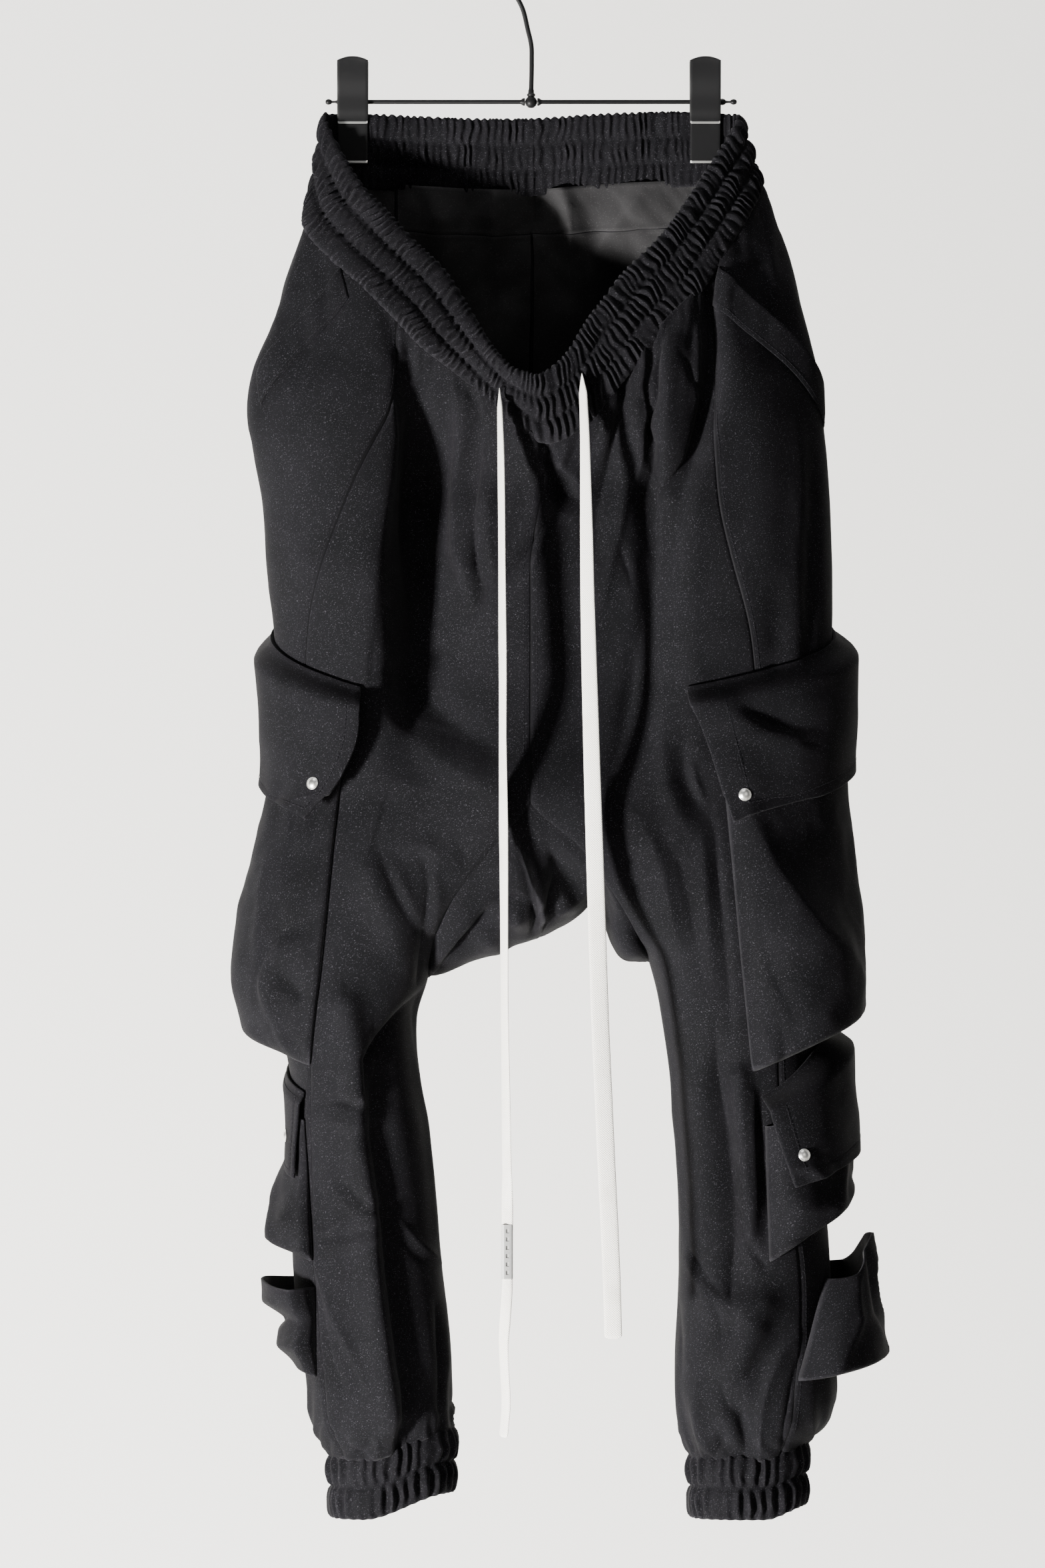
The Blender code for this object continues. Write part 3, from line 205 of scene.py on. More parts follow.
# The main folds, forward or back, and then the creases that lie on them.
FRONT_FOLDS = creases(
    (25, 44, 2, -94, 165, -16, -86, 240, -25, -80, 320, -28, -77, 390, -26, -84, 440, -14, -96,
     480, -4),
    (28, 28, 2, -155, 215, 10, -160, 330, 10),
    (13, 13, 2, -48, 215, 7, -44, 330, 7),
    (8, 9, 2, 128, 130, -4, 126, 200, -6, 111, 252, -8, 93, 280, -7, 92, 328, -6, 79, 392, -5,
     62, 475, -3),
    (10, 10, 2, 102, 180, 5, 92, 260, 5),
    (30, 30, 2, 165, 200, 9, 168, 330, 9),
    (7, 7, 2, 78, 215, -5, 90, 262, -5),
    (12, 12, 2, -112, 545, 6, -86, 605, 6),
    (12, 10, 2, -128, 640, 7, -118, 700, 8, -110, 800, 8, -97, 935, 8),
    (12, 12, 2, 129, 684, -3, 134, 775, -3, 140, 838, -3),
    (8, 8, 2, 147, 690, 5, 151, 800, 5),
    (8, 8, 2, 116, 700, 4, 119, 800, 4),
    (12, 12, 2, 130, 850, 7, 164, 850, 8, 142, 895, 7),
)
BACK_FOLDS = creases(
    (16, 16, 2, -70, 130, 8, -95, 330, 8),
    (16, 16, 2, 74, 130, 8, 104, 330, 8),
    (13, 13, 2, -20, 150, -7, -28, 300, -7),
    (13, 13, 2, 32, 150, -6, 38, 290, -6),
    (18, 18, 2, -44, 350, 9, -90, 540, 9),
    (18, 18, 2, 50, 350, 9, 108, 540, 9),
    (12, 12, 2, -116, 640, 8, -104, 800, 8),
    (12, 12, 2, 150, 640, 8, 158, 800, 8),
    (11, 11, 2, -134, 700, -6, -92, 760, -6),
    (11, 11, 2, 184, 690, -6, 132, 745, -6),
    (10, 10, 2, -100, 850, 6, -96, 940, 6),
    (10, 10, 2, 160, 850, 6, 156, 940, 6),
)
FRONT_CREASES = creases(
    (26, 7, 1.7, -134, 126, 1, -117, 161, 3, -101, 196, 6, -100, 236, 6, -104, 288, 5, -109,
     335, 4, -111, 382, 2),
    (9, 24, 2, -91, 166, -2, -85, 199, -8, -84, 250, -10, -82, 298, -9, -80, 340, -7, -76,
     382, -3),
    (5, 9, 1.8, -68, 175, 1, -65, 213, 4, -61, 269, 5.5, -51, 321, 5, -40, 356, 2.4),
    (8, 4, 1.6, -57, 213, -0.8, -51, 255, -3, -46, 293, -4.6, -38, 323, -6, -33, 347, -5, -36,
     361, -2),
    (3, 11, 1.7, -46, 241, 0.8, -41, 279, 2, -32, 307, 3, -24, 334, 3.4, -27, 356, 2, -32,
     368, 0.8),
    (3.4, 5, 1.8, -59, 194, 1.2, -48, 213, 1.8, -40, 236, 1),
    (3.4, 5, 1.8, -44, 196, 1.2, -33, 213, 1.8, -27, 241, 1),
    (5, 3.4, 1.8, -65, 195, -1, -56, 218, -1.6, -48, 241, -0.6),
    (4.5, 4.5, 2, -17, 209, -2.5, -13, 228, -4, -5, 245, -4.5, 4, 252, -4, 10, 266, -4, 18,
     279, -4, 30, 283, -2.5),
    (7, 3.2, 1.8, -21, 218, 1, -16, 237, 2.4, -8, 255, 2.8, 2, 265, 2.4, 6, 281, 2.2, 16,
     293, 1.6, 32, 295, 0.6),
    (3, 9, 1.8, 3, 255, 1.5, 17, 261, 3, 27, 270, 3, 32, 278, 1.4),
    (2.6, 4, 1.7, 21, 287, -0.8, 13, 298, -1.6, 4, 310, -1.8, -3, 322, -1.8, -12, 333, -0.8),
    (3, 7, 1.7, 25, 292, 0.8, 16, 306, 1.8, 6, 323, 1.8, -2, 338, 0.8),
    (9, 6, 2, 53, 166, -3, 62, 194, -6, 59, 232, -6, 53, 260, -5, 47, 293, -4, 47, 321, -2),
    (8, 3, 1.7, 75, 175, 1, 74, 206, 3, 79, 223, 4, 76, 236, 3, 79, 260, 4, 69, 288, 3, 60,
     321, 2, 53, 354, 1),
    (2.6, 4, 1.6, 93, 175, -1, 89, 213, -3, 81, 232, -3.6, 87, 245, -4.4, 86, 265, -4, 79,
     284, -4, 81, 307, -3.2, 86, 324, -1),
    (4, 12, 1.8, 92, 156, 2, 97, 194, 3.2, 97, 232, 3.4, 95, 260, 3.6, 97, 288, 3, 95, 321,
     2, 90, 354, 1),
    (16, 4, 1.7, 116, 138, 2, 118, 175, 3.6, 116, 213, 4, 107, 250, 3.4, 98, 281, 2),
    (4, 9, 1.9, 126, 128, -2, 129, 166, -3.4, 126, 204, -4, 118, 241, -4, 108, 274, -3.4, 102,
     307, -2.4, 97, 354, -1.6),
    (5, 20, 1.8, 139, 128, 1.6, 142, 175, 2.6, 138, 222, 3, 127, 255, 3, 116, 288, 2.4, 109,
     326, 1.4),
    (2.4, 2, 1.6, 106, 180, -0.6, 113, 195, -1.8, 118, 208, -1.4, 118, 216, -0.4),
    (2.2, 3, 1.7, 65, 320, -0.6, 70, 333, -1.8, 74, 347, -0.8),
    (3, 4, 1.8, 75, 309, -0.8, 78, 322, -1.8, 80, 330, -0.6),
    (5, 5, 2, 189, 227, 0.8, 192, 260, 2, 190, 307, 2.4, 188, 354, 2, 187, 394, 1.4),
    (4, 4, 2, 197, 236, -0.8, 199, 288, -2, 199, 354, -1.8, 196, 392, -1),
    (5, 6, 2, 206, 260, 0.8, 207, 316, 1.8, 208, 368, 1.2),
    (5, 3, 1.8, 172, 340, -0.8, 176, 363, -2.2, 175, 382, -2.4, 172, 403, -1.4),
    (9, 16, 2, -115, 424, 1, -91, 446, 2.4, -62, 467, 3, -41, 480, 3, -23, 490, 2),
    (12, 12, 2, -91, 406, -2, -67, 429, -3.4, -44, 446, -3.4, -27, 457, -2.4),
    (3, 3.6, 1.7, -107, 524, -0.4, -101, 541, -1.1, -93, 560, -1.5, -85, 575, -1.2, -77, 587,
     -0.4),
    (4, 5, 1.8, -95, 540, 0.8, -87, 556, 1.8, -80, 573, 1.4),
    (3, 3.6, 1.8, -78, 534, -0.6, -72, 542, -1.6, -70, 557, -1.9, -72, 576, -1.6, -74, 589,
     -0.8),
    (3, 15, 1.5, -74, 630, -2, -90, 646, -5, -104, 661, -7, -114, 677, -7, -115, 700, -4),
    (4, 6, 2, -85, 528, 1.2, -72, 527, 2, -62, 534, 1.2),
    (4, 5, 1.8, -66, 547, 0.8, -64, 565, 1.8, -67, 584, 1),
    (3, 4, 1.8, -51, 524, -0.6, -46, 533, -1.6, -44, 542, -0.6),
    (3, 2.4, 1.8, -75, 589, -1.4, -76, 608, -2.4, -78, 622, -1.6),
    (10, 9, 2, 113, 441, -1, 108, 460, -2.6, 110, 478, -3, 117, 494, -2, 124, 505, -1),
    (2.6, 2.8, 1.8, 115, 471, 1.2, 117, 482, 2.6, 122, 493, 1.4),
    (7, 10, 2, 97, 424, 1.4, 94, 453, 2.4, 97, 486, 2.4, 107, 509, 1.4),
    (10, 5, 1.8, 78, 508, 0.8, 87, 526, 1.8, 95, 547, 2.4, 100, 570, 2.2, 106, 594, 1.6, 113,
     615, 0.8),
    (4, 9, 1.9, 93, 518, -0.4, 107, 542, -1.4, 112, 565, -1.6, 117, 594, -1.2, 121, 617, -0.6),
    (4, 4, 1.9, 65, 540, -0.6, 73, 537, -1.2, 82, 531, -0.6),
    (4, 4, 1.9, 72, 555, -0.6, 78, 556, -1.2, 87, 552, -0.6),
    (10, 2.6, 1.7, 131, 512, -1, 134, 545, -2.8, 138, 589, -2.6, 141, 626, -2, 143, 655, -1),
    (5, 6, 1.9, 121, 518, 0.6, 124, 547, 1.8, 126, 580, 1.8, 128, 612, 1),
    (15, 4.4, 1.6, -114, 678, 2, -118, 706, 3.4, -119, 735, 3.6, -114, 760, 3.6, -109, 787,
     4, -109, 814, 4.2, -106, 847, 4.6, -102, 878, 4.8, -99, 908, 4.8, -96, 937, 4, -98,
     958, 2),
    (4.4, 12, 1.9, -107, 692, -2, -110, 730, -3.4, -103, 772, -3.4, -99, 824, -3.6, -93,
     871, -4, -87, 913, -4, -87, 946, -2.4),
    (2, 2.4, 1.5, -104, 777, 0.6, -94, 788, 1.6, -80, 804, 2, -68, 816, 1.6, -61, 824, 0.8),
    (2.2, 3.2, 1.7, -107, 782, -0.4, -95, 797, -1.2, -82, 813, -1.4, -69, 825, -0.6),
    (3.4, 3, 1.8, -143, 709, -1, -134, 706, -2.6, -124, 708, -3.2, -117, 712, -2),
    (4, 4, 1.9, -138, 720, 0.8, -128, 722, 1.8, -118, 725, 1),
    (2.4, 3, 1.6, -135, 761, -0.4, -126, 767, -1.8, -118, 775, -2.6, -111, 784, -2),
    (3, 3, 1.8, -138, 770, 0.6, -128, 777, 1.4, -119, 787, 1),
    (2.2, 2.4, 1.7, -146, 800, 0.8, -138, 797, 2, -131, 792, 2.2, -126, 786, 1),
    (2.4, 2.6, 1.7, -144, 804, -0.8, -128, 801, -1.6, -112, 797, -1.8),
    (3.4, 4, 1.9, -138, 810, 0.6, -124, 809, 1.2, -111, 806, 0.8),
    (2.4, 5, 1.6, -150, 823, 0.8, -143, 843, 2.2, -136, 863, 2.6, -124, 884, 2.2, -115, 901,
     1.4, -107, 918, 0.5),
    (4, 2.6, 1.8, -148, 838, -0.8, -144, 864, -1.8, -138, 890, -1.8, -128, 913, -0.8),
    (1.6, 1.6, 3, -134, 958, 0.9, -118, 959, 0.9),
    (3, 3, 1.8, -132, 941, -0.6, -124, 950, -1.6, -115, 956, -1.6),
    (2.6, 2.6, 1.8, -107, 937, 0.6, -105, 953, 1.8, -110, 965, 1),
    (3, 2.4, 1.8, -92, 941, -1, -91, 956, -2.4, -88, 968, -1.6),
    (2.2, 2.4, 1.7, -66, 850, -0.8, -64, 880, -2.4, -62, 913, -2.6, -63, 941, -1.4),
    (3, 3, 1.8, -60, 852, 0.6, -59, 894, 1.4, -59, 937, 0.8),
    (4, 4, 1.9, -72, 941, 1, -74, 956, 1.8, -70, 967, 1),
    (5, 9, 1.6, 131, 650, -1, 131, 684, -5, 136, 730, -8, 140, 780, -8, 142, 815, -6, 142, 846,
     -2),
    (4, 9, 1.7, 147, 690, 1.4, 151, 740, 2.4, 155, 780, 2.4, 156, 815, 1),
    (4, 3.6, 1.7, 163, 699, -0.8, 165, 749, -2, 168, 780, -1.6, 166, 819, -0.6),
    (5, 3.6, 1.9, 157, 702, 1, 157, 730, 1.8, 159, 768, 1.6, 157, 800, 1),
    (3.4, 3, 1.7, 143, 777, -0.5, 150, 796, -1.6, 157, 811, -2.2, 166, 822, -1.6),
    (2.2, 2.4, 1.7, 113, 811, -0.5, 120, 822, -1.6, 127, 833, -1.8, 136, 843, -0.8),
    (3, 3, 1.8, 111, 819, 0.5, 119, 832, 1.2, 127, 845, 0.8),
    (9, 10, 2, 138, 847, 1.6, 150, 854, 3.4, 157, 866, 3.4, 150, 885, 2),
    (3.2, 3.2, 1.8, 128, 845, -0.8, 134, 858, -1.8, 136, 871, -0.8),
    (7, 6, 1.9, 132, 899, -1.4, 140, 923, -3.6, 149, 927, -4, 153, 951, -3.4, 149, 965,
     -1.4),
    (2.8, 7, 1.6, 190, 871, 1, 177, 885, 2.4, 169, 902, 3.6, 164, 923, 3.8, 162, 946, 3.2,
     163, 961, 1.6),
    (2, 2.2, 1.6, 189, 890, -0.8, 184, 913, -1.8, 180, 937, -1.8, 178, 960, -0.8),
    (3, 4, 1.8, 121, 899, 0.6, 120, 927, 1.6, 124, 956, 1),
    (3, 3, 1.8, 126, 960, -1, 134, 952, -2, 140, 937, -1),
    (3, 3, 1.9, 107, 852, -0.8, 108, 876, -1.8, 109, 899, -0.8),
    (3, 3, 1.8, 175, 880, -0.8, 163, 890, -1.6, 154, 897, -1),
)
BACK_CREASES = creases(
    # folds that hang from the back of the band
    (9, 14, 1.6, 30, 58, -5, 38, 76, -10, 40, 92, -9, 36, 116, -3),
    (8, 12, 1.6, 96, 58, -4, 86, 76, -9, 72, 90, -8, 60, 106, -2),
    (10, 10, 1.8, 6, 58, 3, 4, 80, 6, -4, 104, 2),
    (10, 12, 1.7, -30, 58, -4, -32, 80, -9, -28, 116, -3),
    (10, 12, 1.7, -74, 58, -4, -68, 82, -9, -66, 118, -3),
    # drag lines that hang between the clips
    (9, 14, 1.9, -118, 70, 1, -92, 130, 3.4, -58, 176, 3.4, -20, 196, 2),
    (14, 9, 1.9, 120, 70, 1, 98, 128, 3.4, 64, 172, 3.4, 26, 196, 2),
    (5, 8, 1.8, -128, 72, -1, -118, 140, -4, -96, 220, -4.4, -60, 280, -2),
    (8, 5, 1.8, 134, 72, -1, 126, 138, -4, 104, 222, -4.4, 70, 286, -2),
    (4, 6, 1.7, -62, 84, -1, -64, 130, -2.8, -56, 178, -1),
    (5, 5, 1.8, -30, 82, 0.8, -34, 122, 2.2, -30, 160, 0.8),
    (4, 6, 1.7, 48, 82, -1, 54, 128, -2.6, 52, 170, -1),
    (5, 5, 1.8, 84, 82, 0.8, 88, 126, 2.2, 84, 160, 0.8),
    (7, 12, 1.8, -140, 150, 1, -136, 240, 4, -120, 330, 3.4, -112, 400, 1.2),
    (12, 7, 1.8, 150, 150, 1, 150, 240, 4, 138, 330, 3.4, 130, 400, 1.2),
    (6, 10, 1.9, -24, 236, -1, -34, 300, -3.4, -58, 372, -3, -80, 430, -1),
    (10, 6, 1.9, 30, 240, -1, 42, 302, -3.2, 68, 372, -3, 92, 428, -1),
    # folds that run from the seat into the legs
    (4, 9, 1.7, -8, 400, 0.8, -30, 448, 3, -62, 500, 3.6, -100, 552, 2.4, -128, 590, 0.8),
    (9, 4, 1.7, 14, 402, 0.8, 40, 450, 3, 78, 500, 3.6, 124, 548, 2.4, 160, 584, 0.8),
    (3.4, 5, 1.7, -22, 470, -0.8, -50, 520, -3.4, -82, 566, -3, -104, 596, -0.8),
    (5, 3.4, 1.7, 30, 472, -0.8, 66, 522, -3.4, 104, 566, -3, 134, 596, -0.8),
    (3, 5, 1.7, -70, 600, -0.6, -96, 632, -2.6, -126, 650, -1),
    (5, 3, 1.7, 100, 596, -0.6, 130, 626, -2.6, 160, 644, -1),
    # the back of the knees and the calves
    (3.4, 7, 1.6, -142, 690, 0.6, -122, 722, 2.8, -96, 742, 2.6, -78, 752, 0.8),
    (7, 3.4, 1.6, 188, 684, 0.6, 166, 716, 2.8, 138, 738, 2.6, 116, 748, 0.8),
    (2.6, 4.4, 1.6, -84, 772, -0.6, -106, 792, -2.6, -138, 800, -1),
    (4.4, 2.6, 1.6, 118, 768, -0.6, 144, 790, -2.6, 178, 796, -1),
    (6, 10, 1.8, -116, 800, 1, -112, 850, 3, -104, 910, 2.4, -100, 948, 1),
    (10, 6, 1.8, 160, 800, 1, 158, 850, 3, 152, 910, 2.4, 150, 948, 1),
    (2.6, 3, 1.7, -128, 878, -0.6, -112, 906, -2.2, -92, 926, -1),
    (3, 2.6, 1.7, 176, 872, -0.6, 164, 902, -2.2, 140, 924, -1),
    (2.4, 3, 1.7, -84, 890, -0.6, -80, 920, -2.2, -76, 948, -1.4),
    (3, 2.4, 1.7, 128, 892, -0.6, 130, 920, -2.2, 134, 948, -1.4),
)
# Creases of the gusset's front half: x, drop and rise.
GUSSET_CREASES = creases(
    (5, 3, 1.6, -1.4, 526, 2, 4.7, 549, 6, 8, 563, 7, 10, 577, 5),
    (4, 12, 1.5, 14.6, 528, -3, 18.3, 540, -8, 18.3, 554, -9, 13.6, 571, -6),
    (3, 3, 1.7, 19, 524, 1, 28, 528, 3, 34, 534, 3, 42, 542, 2),
    (5, 2.4, 1.5, 22, 576, 2, 32, 566, 4, 41, 558, 3),
    (4, 4, 1.6, -3.8, 512, -2, -6.6, 530, -4, -1.4, 547, -6, 1.9, 561, -7, 5, 578, -8, 3.3,
     588, -4),
    (8, 8, 1.9, -16, 577, 4, -8, 577, 7, -3, 577, 4),
    (5, 4, 1.7, -20, 561, -1, -12, 564, -5, -3.8, 566, -3),
    (3, 9, 1.6, -22, 566, -2, -36, 582, -8, -48, 596, -8, -62, 611, -3),
    (2.6, 3, 1.5, -42, 581, 1, -54, 597, 3.4, -67, 613, 2),
    (9, 9, 1.9, -34, 589, 3, -28, 594, 5, -22, 598, 4),
    (5, 8, 1.8, 50, 556, -3, 47, 566, -6, 48, 576, -3),
    (8, 6, 1.9, 62, 585, 3, 72, 597, 5, 79, 604, 3),
)
# Creases round the outer and inner lines: x is degrees from the outermost line.
SIDE_CREASES = {
    Side.LEFT: creases(
        (8, 14, 1.9, 16, 104, 0.8, 8, 160, 3, 4, 230, 1.4),
        (10, 8, 1.9, -26, 110, -0.8, -34, 190, -4, -30, 280, -1.4),
        (7, 10, 1.9, -10, 250, 0.8, -14, 300, 2.6, -10, 345, 1.2),
        (8, 12, 1.8, 168, 650, 0.8, 172, 720, 2.4, 166, 800, 1),
        (10, 8, 1.8, -150, 660, -0.8, -158, 740, -3, -152, 820, -1),
        (6, 9, 1.8, 14, 902, 0.6, 6, 926, 2.4, 10, 950, 1.4),
    ),
    Side.RIGHT: creases(
        (8, 14, 1.9, 18, 96, 0.8, 8, 150, 3, 6, 220, 1.4),
        (10, 8, 1.9, -24, 104, -0.8, -32, 186, -4, -28, 272, -1.4),
        (7, 10, 1.9, -12, 246, 0.8, -16, 300, 2.6, -12, 345, 1.2),
        (8, 12, 1.8, 166, 640, 0.8, 170, 716, 2.4, 164, 800, 1),
        (10, 8, 1.8, -152, 650, -0.8, -160, 730, -3, -154, 812, -1),
        (6, 9, 1.8, -16, 902, 0.6, -8, 926, 2.4, -12, 950, 1.4),
    ),
}
# Creases of the bags and flaps: x and drop are hundredths of the piece, from its front edge
# and its top.
LEFT_BAG_CREASES = creases(
    (4, 9, 1.6, 4, 34, 0, 10, 46, 2, 20, 56, 2.6, 34, 62, 1),
    (2.6, 3.4, 1.6, 10, 60, -1, 17, 64, -4.4, 26, 66, -5, 33, 72, -4, 35, 80, -1),
    (3, 6, 1.6, 6, 70, 0.6, 16, 68, 3, 24, 73, 3.4, 28, 84, 1),
    (2.2, 2.8, 1.6, 6, 80, -1, 12, 80.5, -5, 18, 78.5, -5, 24, 77, -1.4),
    (6, 4, 1.7, 40, 58, 1, 34, 76, 3, 24, 90, 3, 18, 99, 1),
    (3, 5, 1.6, 24, 22, 0.4, 30, 32, 1.8, 28, 44, 0.6),
    (3, 3, 1.6, 8, 96, -1.4, 20, 92, -2, 36, 95, -2),
)
RIGHT_BAG_CREASES = creases(
    (8, 4, 1.3, 7, 31, 1, 14, 45, 3, 24, 57, 4, 34, 67, 4, 50, 80, 3),
    (10, 12, 2, 22, 34, -2, 36, 48, -4, 50, 62, -4),
    (3, 5, 1.6, 1.5, 38, 0, 4, 50, 2.6, 7, 64, 3, 9, 76, 1),
    (3, 4, 1.6, 8, 60, -1, 12, 74, -3.4, 18, 86, -3.4, 21, 97, -1),
    (3, 3, 1.5, 6, 84, 1, 7.5, 92, 3.6, 9, 100, 5),
    (3, 3, 1.5, 13, 86, -1, 15, 94, -4, 15, 100, -5),
    (4, 6, 1.7, 20, 100, 3, 32, 93, 3, 50, 92, 2),
    (5, 8, 1.8, 56, 24, 0.6, 66, 44, 3, 62, 62, 1),
)
LEFT_CALF_CREASES = creases(
    (16, 14, 1.5, -20, 34, -6, 0, 36, -9, 50, 42, -12, 120, 46, -9),
    (9, 8, 1.6, -20, 58, 1, 0, 66, 3, 60, 74, 4, 120, 78, 3),
    (10, 30, 1.6, -20, 96, -6, 50, 100, -13, 120, 102, -13),
    (6, 9, 1.5, 4, 4, 1, 22, 18, 3, 50, 26, 3, 76, 28, 2),
    (4, 5, 1.6, 18, 30, -1, 34, 46, -3, 62, 52, -3, 90, 50, -1),
)
CALF_CREASES = creases(
    (14, 4, 1.3, 50, 0, 4, 42, 30, 6, 52, 55, 6, 64, 75, 4, 78, 98, 2),
    (5, 12, 1.5, 30, 2, -4, 34, 30, -5, 40, 55, -4, 52, 80, -2),
    (5, 5, 1.6, 12, 10, 2, 18, 50, 4, 10, 96, 2),
    (6, 6, 1.7, 60, 20, -3, 70, 48, -5, 84, 66, -2),
)
LOWER_CREASES = creases(
    (6, 10, 1.6, 6, 60, 1, 16, 74, 3, 30, 84, 3.6, 44, 98, 2),
    (4, 4, 1.6, 3, 86, -1, 12, 92, -3, 22, 99, -2),
    (7, 5, 1.7, 50, 40, 1, 42, 66, 3, 30, 96, 2),
    (5, 7, 1.7, 62, 50, -1, 58, 76, -3.4, 66, 98, -2),
)
LEFT_FLAP_CREASES = creases(
    (3, 6, 1.5, 0, 78, 1, 8, 84, 2.6, 14, 100, 3),
    (4, 4, 1.6, 12, 70, -0.4, 20, 82, -1.6, 24, 100, -1.6),
    (8, 8, 2, 40, 40, 0.6, 50, 70, 1.6, 46, 100, 2),
    (6, 8, 2, 70, 30, -0.4, 66, 70, -1.4, 70, 100, -1.6),
)
RIGHT_FLAP_CREASES = creases(
    (8, 2.6, 1.5, 6, 5, 1, 8, 24, 3.4, 13, 38, 4, 22, 52, 2),
    (2.6, 7, 1.7, 8.5, 10, -0.6, 12, 26, -3, 18, 38, -3, 26, 47, -1),
    (3, 5, 1.6, 4, 40, 0.4, 7, 70, 2, 6, 100, 2.6),
    (10, 10, 2, 60, 60, 0.6, 66, 84, 2, 64, 100, 2.4),
)


# ------------------------------------------------------------------ numbers
def mix(a: Array, b: Array, share: Array) -> Array:
    """Straight blend from a to b."""
    return a + (b - a) * share


def smooth(share: Array) -> Array:
    """Soft step from 0 to 1."""
    share = np.clip(share, 0.0, 1.0)
    return share * share * (3.0 - 2.0 * share)


def window(value: Array, start: float, rise: float, end: float, fall: float) -> Array:
    """1 between a soft start and a soft end, and 0 outside them."""
    return smooth((value - start) / rise) * smooth((end - value) / fall)


def unit(vectors: Array) -> Array:
    """Vectors of length one."""
    return vectors / np.maximum(np.linalg.norm(vectors, axis=-1, keepdims=True), 1e-9)


def signed_power(value: Array, power: float) -> Array:
    """A power that keeps the sign."""
    return np.sign(value) * np.abs(value) ** power


def hermite(a: Array, b: Array, slope_a: Array, slope_b: Array, share: Array) -> Array:
    """Cubic from a to b with the given end slopes."""
    square = share * share
    cube = square * share
    return ((2 * cube - 3 * square + 1) * a + (cube - 2 * square + share) * slope_a
            + (3 * square - 2 * cube) * b + (cube - square) * slope_b)


def read_table(rows: Array, at: Array) -> Array:
    """Smooth rows of a table whose first column rises.

    Args:
        rows: the table.
        at: values of the first column.

    Returns:
        The other columns at each value, in a last axis.
    """
    at = np.clip(np.asarray(at, float), rows[0, 0], rows[-1, 0])
    last = len(rows) - 1
    k = np.clip(np.searchsorted(rows[:, 0], at, side="right") - 1, 0, last - 1)
    before, start, end = rows[np.maximum(k - 1, 0)], rows[k], rows[k + 1]
    after = rows[np.minimum(k + 2, last)]
    span = end[..., :1] - start[..., :1]
    share = (at[..., None] - start[..., :1]) / span
    slope_a = (end - before) / (end[..., :1] - before[..., :1]) * span
    slope_b = (after - start) / (after[..., :1] - start[..., :1]) * span
    return hermite(start, end, slope_a, slope_b, share)[..., 1:]


def read_loop(rows: Array, at: Array) -> Array:
    """Smooth rows of a closed table at fractional row numbers."""
    at = np.asarray(at, float)
    k = np.floor(at).astype(int)
    a, b, c, d = (rows[(k + shift) % len(rows)] for shift in (-1, 0, 1, 2))
    return hermite(b, c, (c - a) / 2, (d - b) / 2, (at - k)[..., None])


def band_edges(mark: Array) -> tuple:
    """Upper and lower edges of the waistband at fractional numbers of its stations."""
    station = read_loop(BAND_STATIONS, mark)
    return tuple(station[..., k:k + 3] * (1.0, 1.0, -1.0) for k in (0, 3))


def on_line(at: Array, run: Array, line: Array) -> Array:
    """Places on a line at lengths, with the running length of each of its places."""
    return np.stack([np.interp(at, run, line[:, axis]) for axis in range(3)], axis=-1)


def crease_rise(lines: Sequence[Crease], x: Array, drop: Array, crisp: float = 0.0) -> Array:
    """Sum of creases at places seen flat.

    Args:
        lines: the creases.
        x: across the cloth.
        drop: down the cloth.
        crisp: how far every power is lowered.

    Returns:
        The rise of the cloth.
    """
    total = np.zeros(np.broadcast(x, drop).shape)
    for crease in lines:
        nearest = np.full(total.shape, np.inf)
        rise, side = np.zeros(total.shape), np.zeros(total.shape)
        for a, b in zip(crease.line, crease.line[1:]):
            run_x, run_drop = b[0] - a[0], b[1] - a[1]
            share = np.clip(((x - a[0]) * run_x + (drop - a[1]) * run_drop)
                            / (run_x * run_x + run_drop * run_drop), 0.0, 1.0)
            off_x, off_drop = x - a[0] - share * run_x, drop - a[1] - share * run_drop
            away = off_x * off_x + off_drop * off_drop
            closer = away < nearest
            nearest = np.where(closer, away, nearest)
            rise = np.where(closer, a[2] + (b[2] - a[2]) * share, rise)
            side = np.where(closer, run_x * off_drop - run_drop * off_x, side)
        width = np.where(side > 0, crease.left, crease.right)
        total += rise * np.exp(-(np.sqrt(nearest) / width) ** (crease.power - crisp))
    return total


def lumps(points: Array, size: float, seed: float = 0.0) -> Array:
    """Smooth noise from about -1 to 1 with lumps of a size."""
    flat = np.zeros((points[..., 0].size, 3))
    flat[:, :points.shape[-1]] = points.reshape(-1, points.shape[-1]) / size
    values = [noise.noise(row) for row in (flat + seed).tolist()]
    return np.array(values).reshape(points.shape[:-1])


def uneven(points: Array, *waves: Sequence[float]) -> Array:
    """Sum of lumps, each with its height, size and seed."""
    return sum(height * lumps(points, size, seed) for height, size, seed in waves)


def along_rows(places: Array) -> Array:
    """Running length along each row of a grid of places."""
    steps = np.linalg.norm(np.diff(places, axis=1), axis=-1)
    return np.concatenate((np.zeros((len(places), 1)), np.cumsum(steps, axis=1)), axis=1)


def down_columns(places: Array) -> Array:
    """Running length down each column of a grid of places."""
    return along_rows(np.swapaxes(places, 0, 1)).T


def grid_normals(places: Array) -> Array:
    """Unit normals of a grid of places."""
    down = np.gradient(places, axis=0)
    along = np.gradient(places, axis=1)
    return unit(np.cross(along, down))


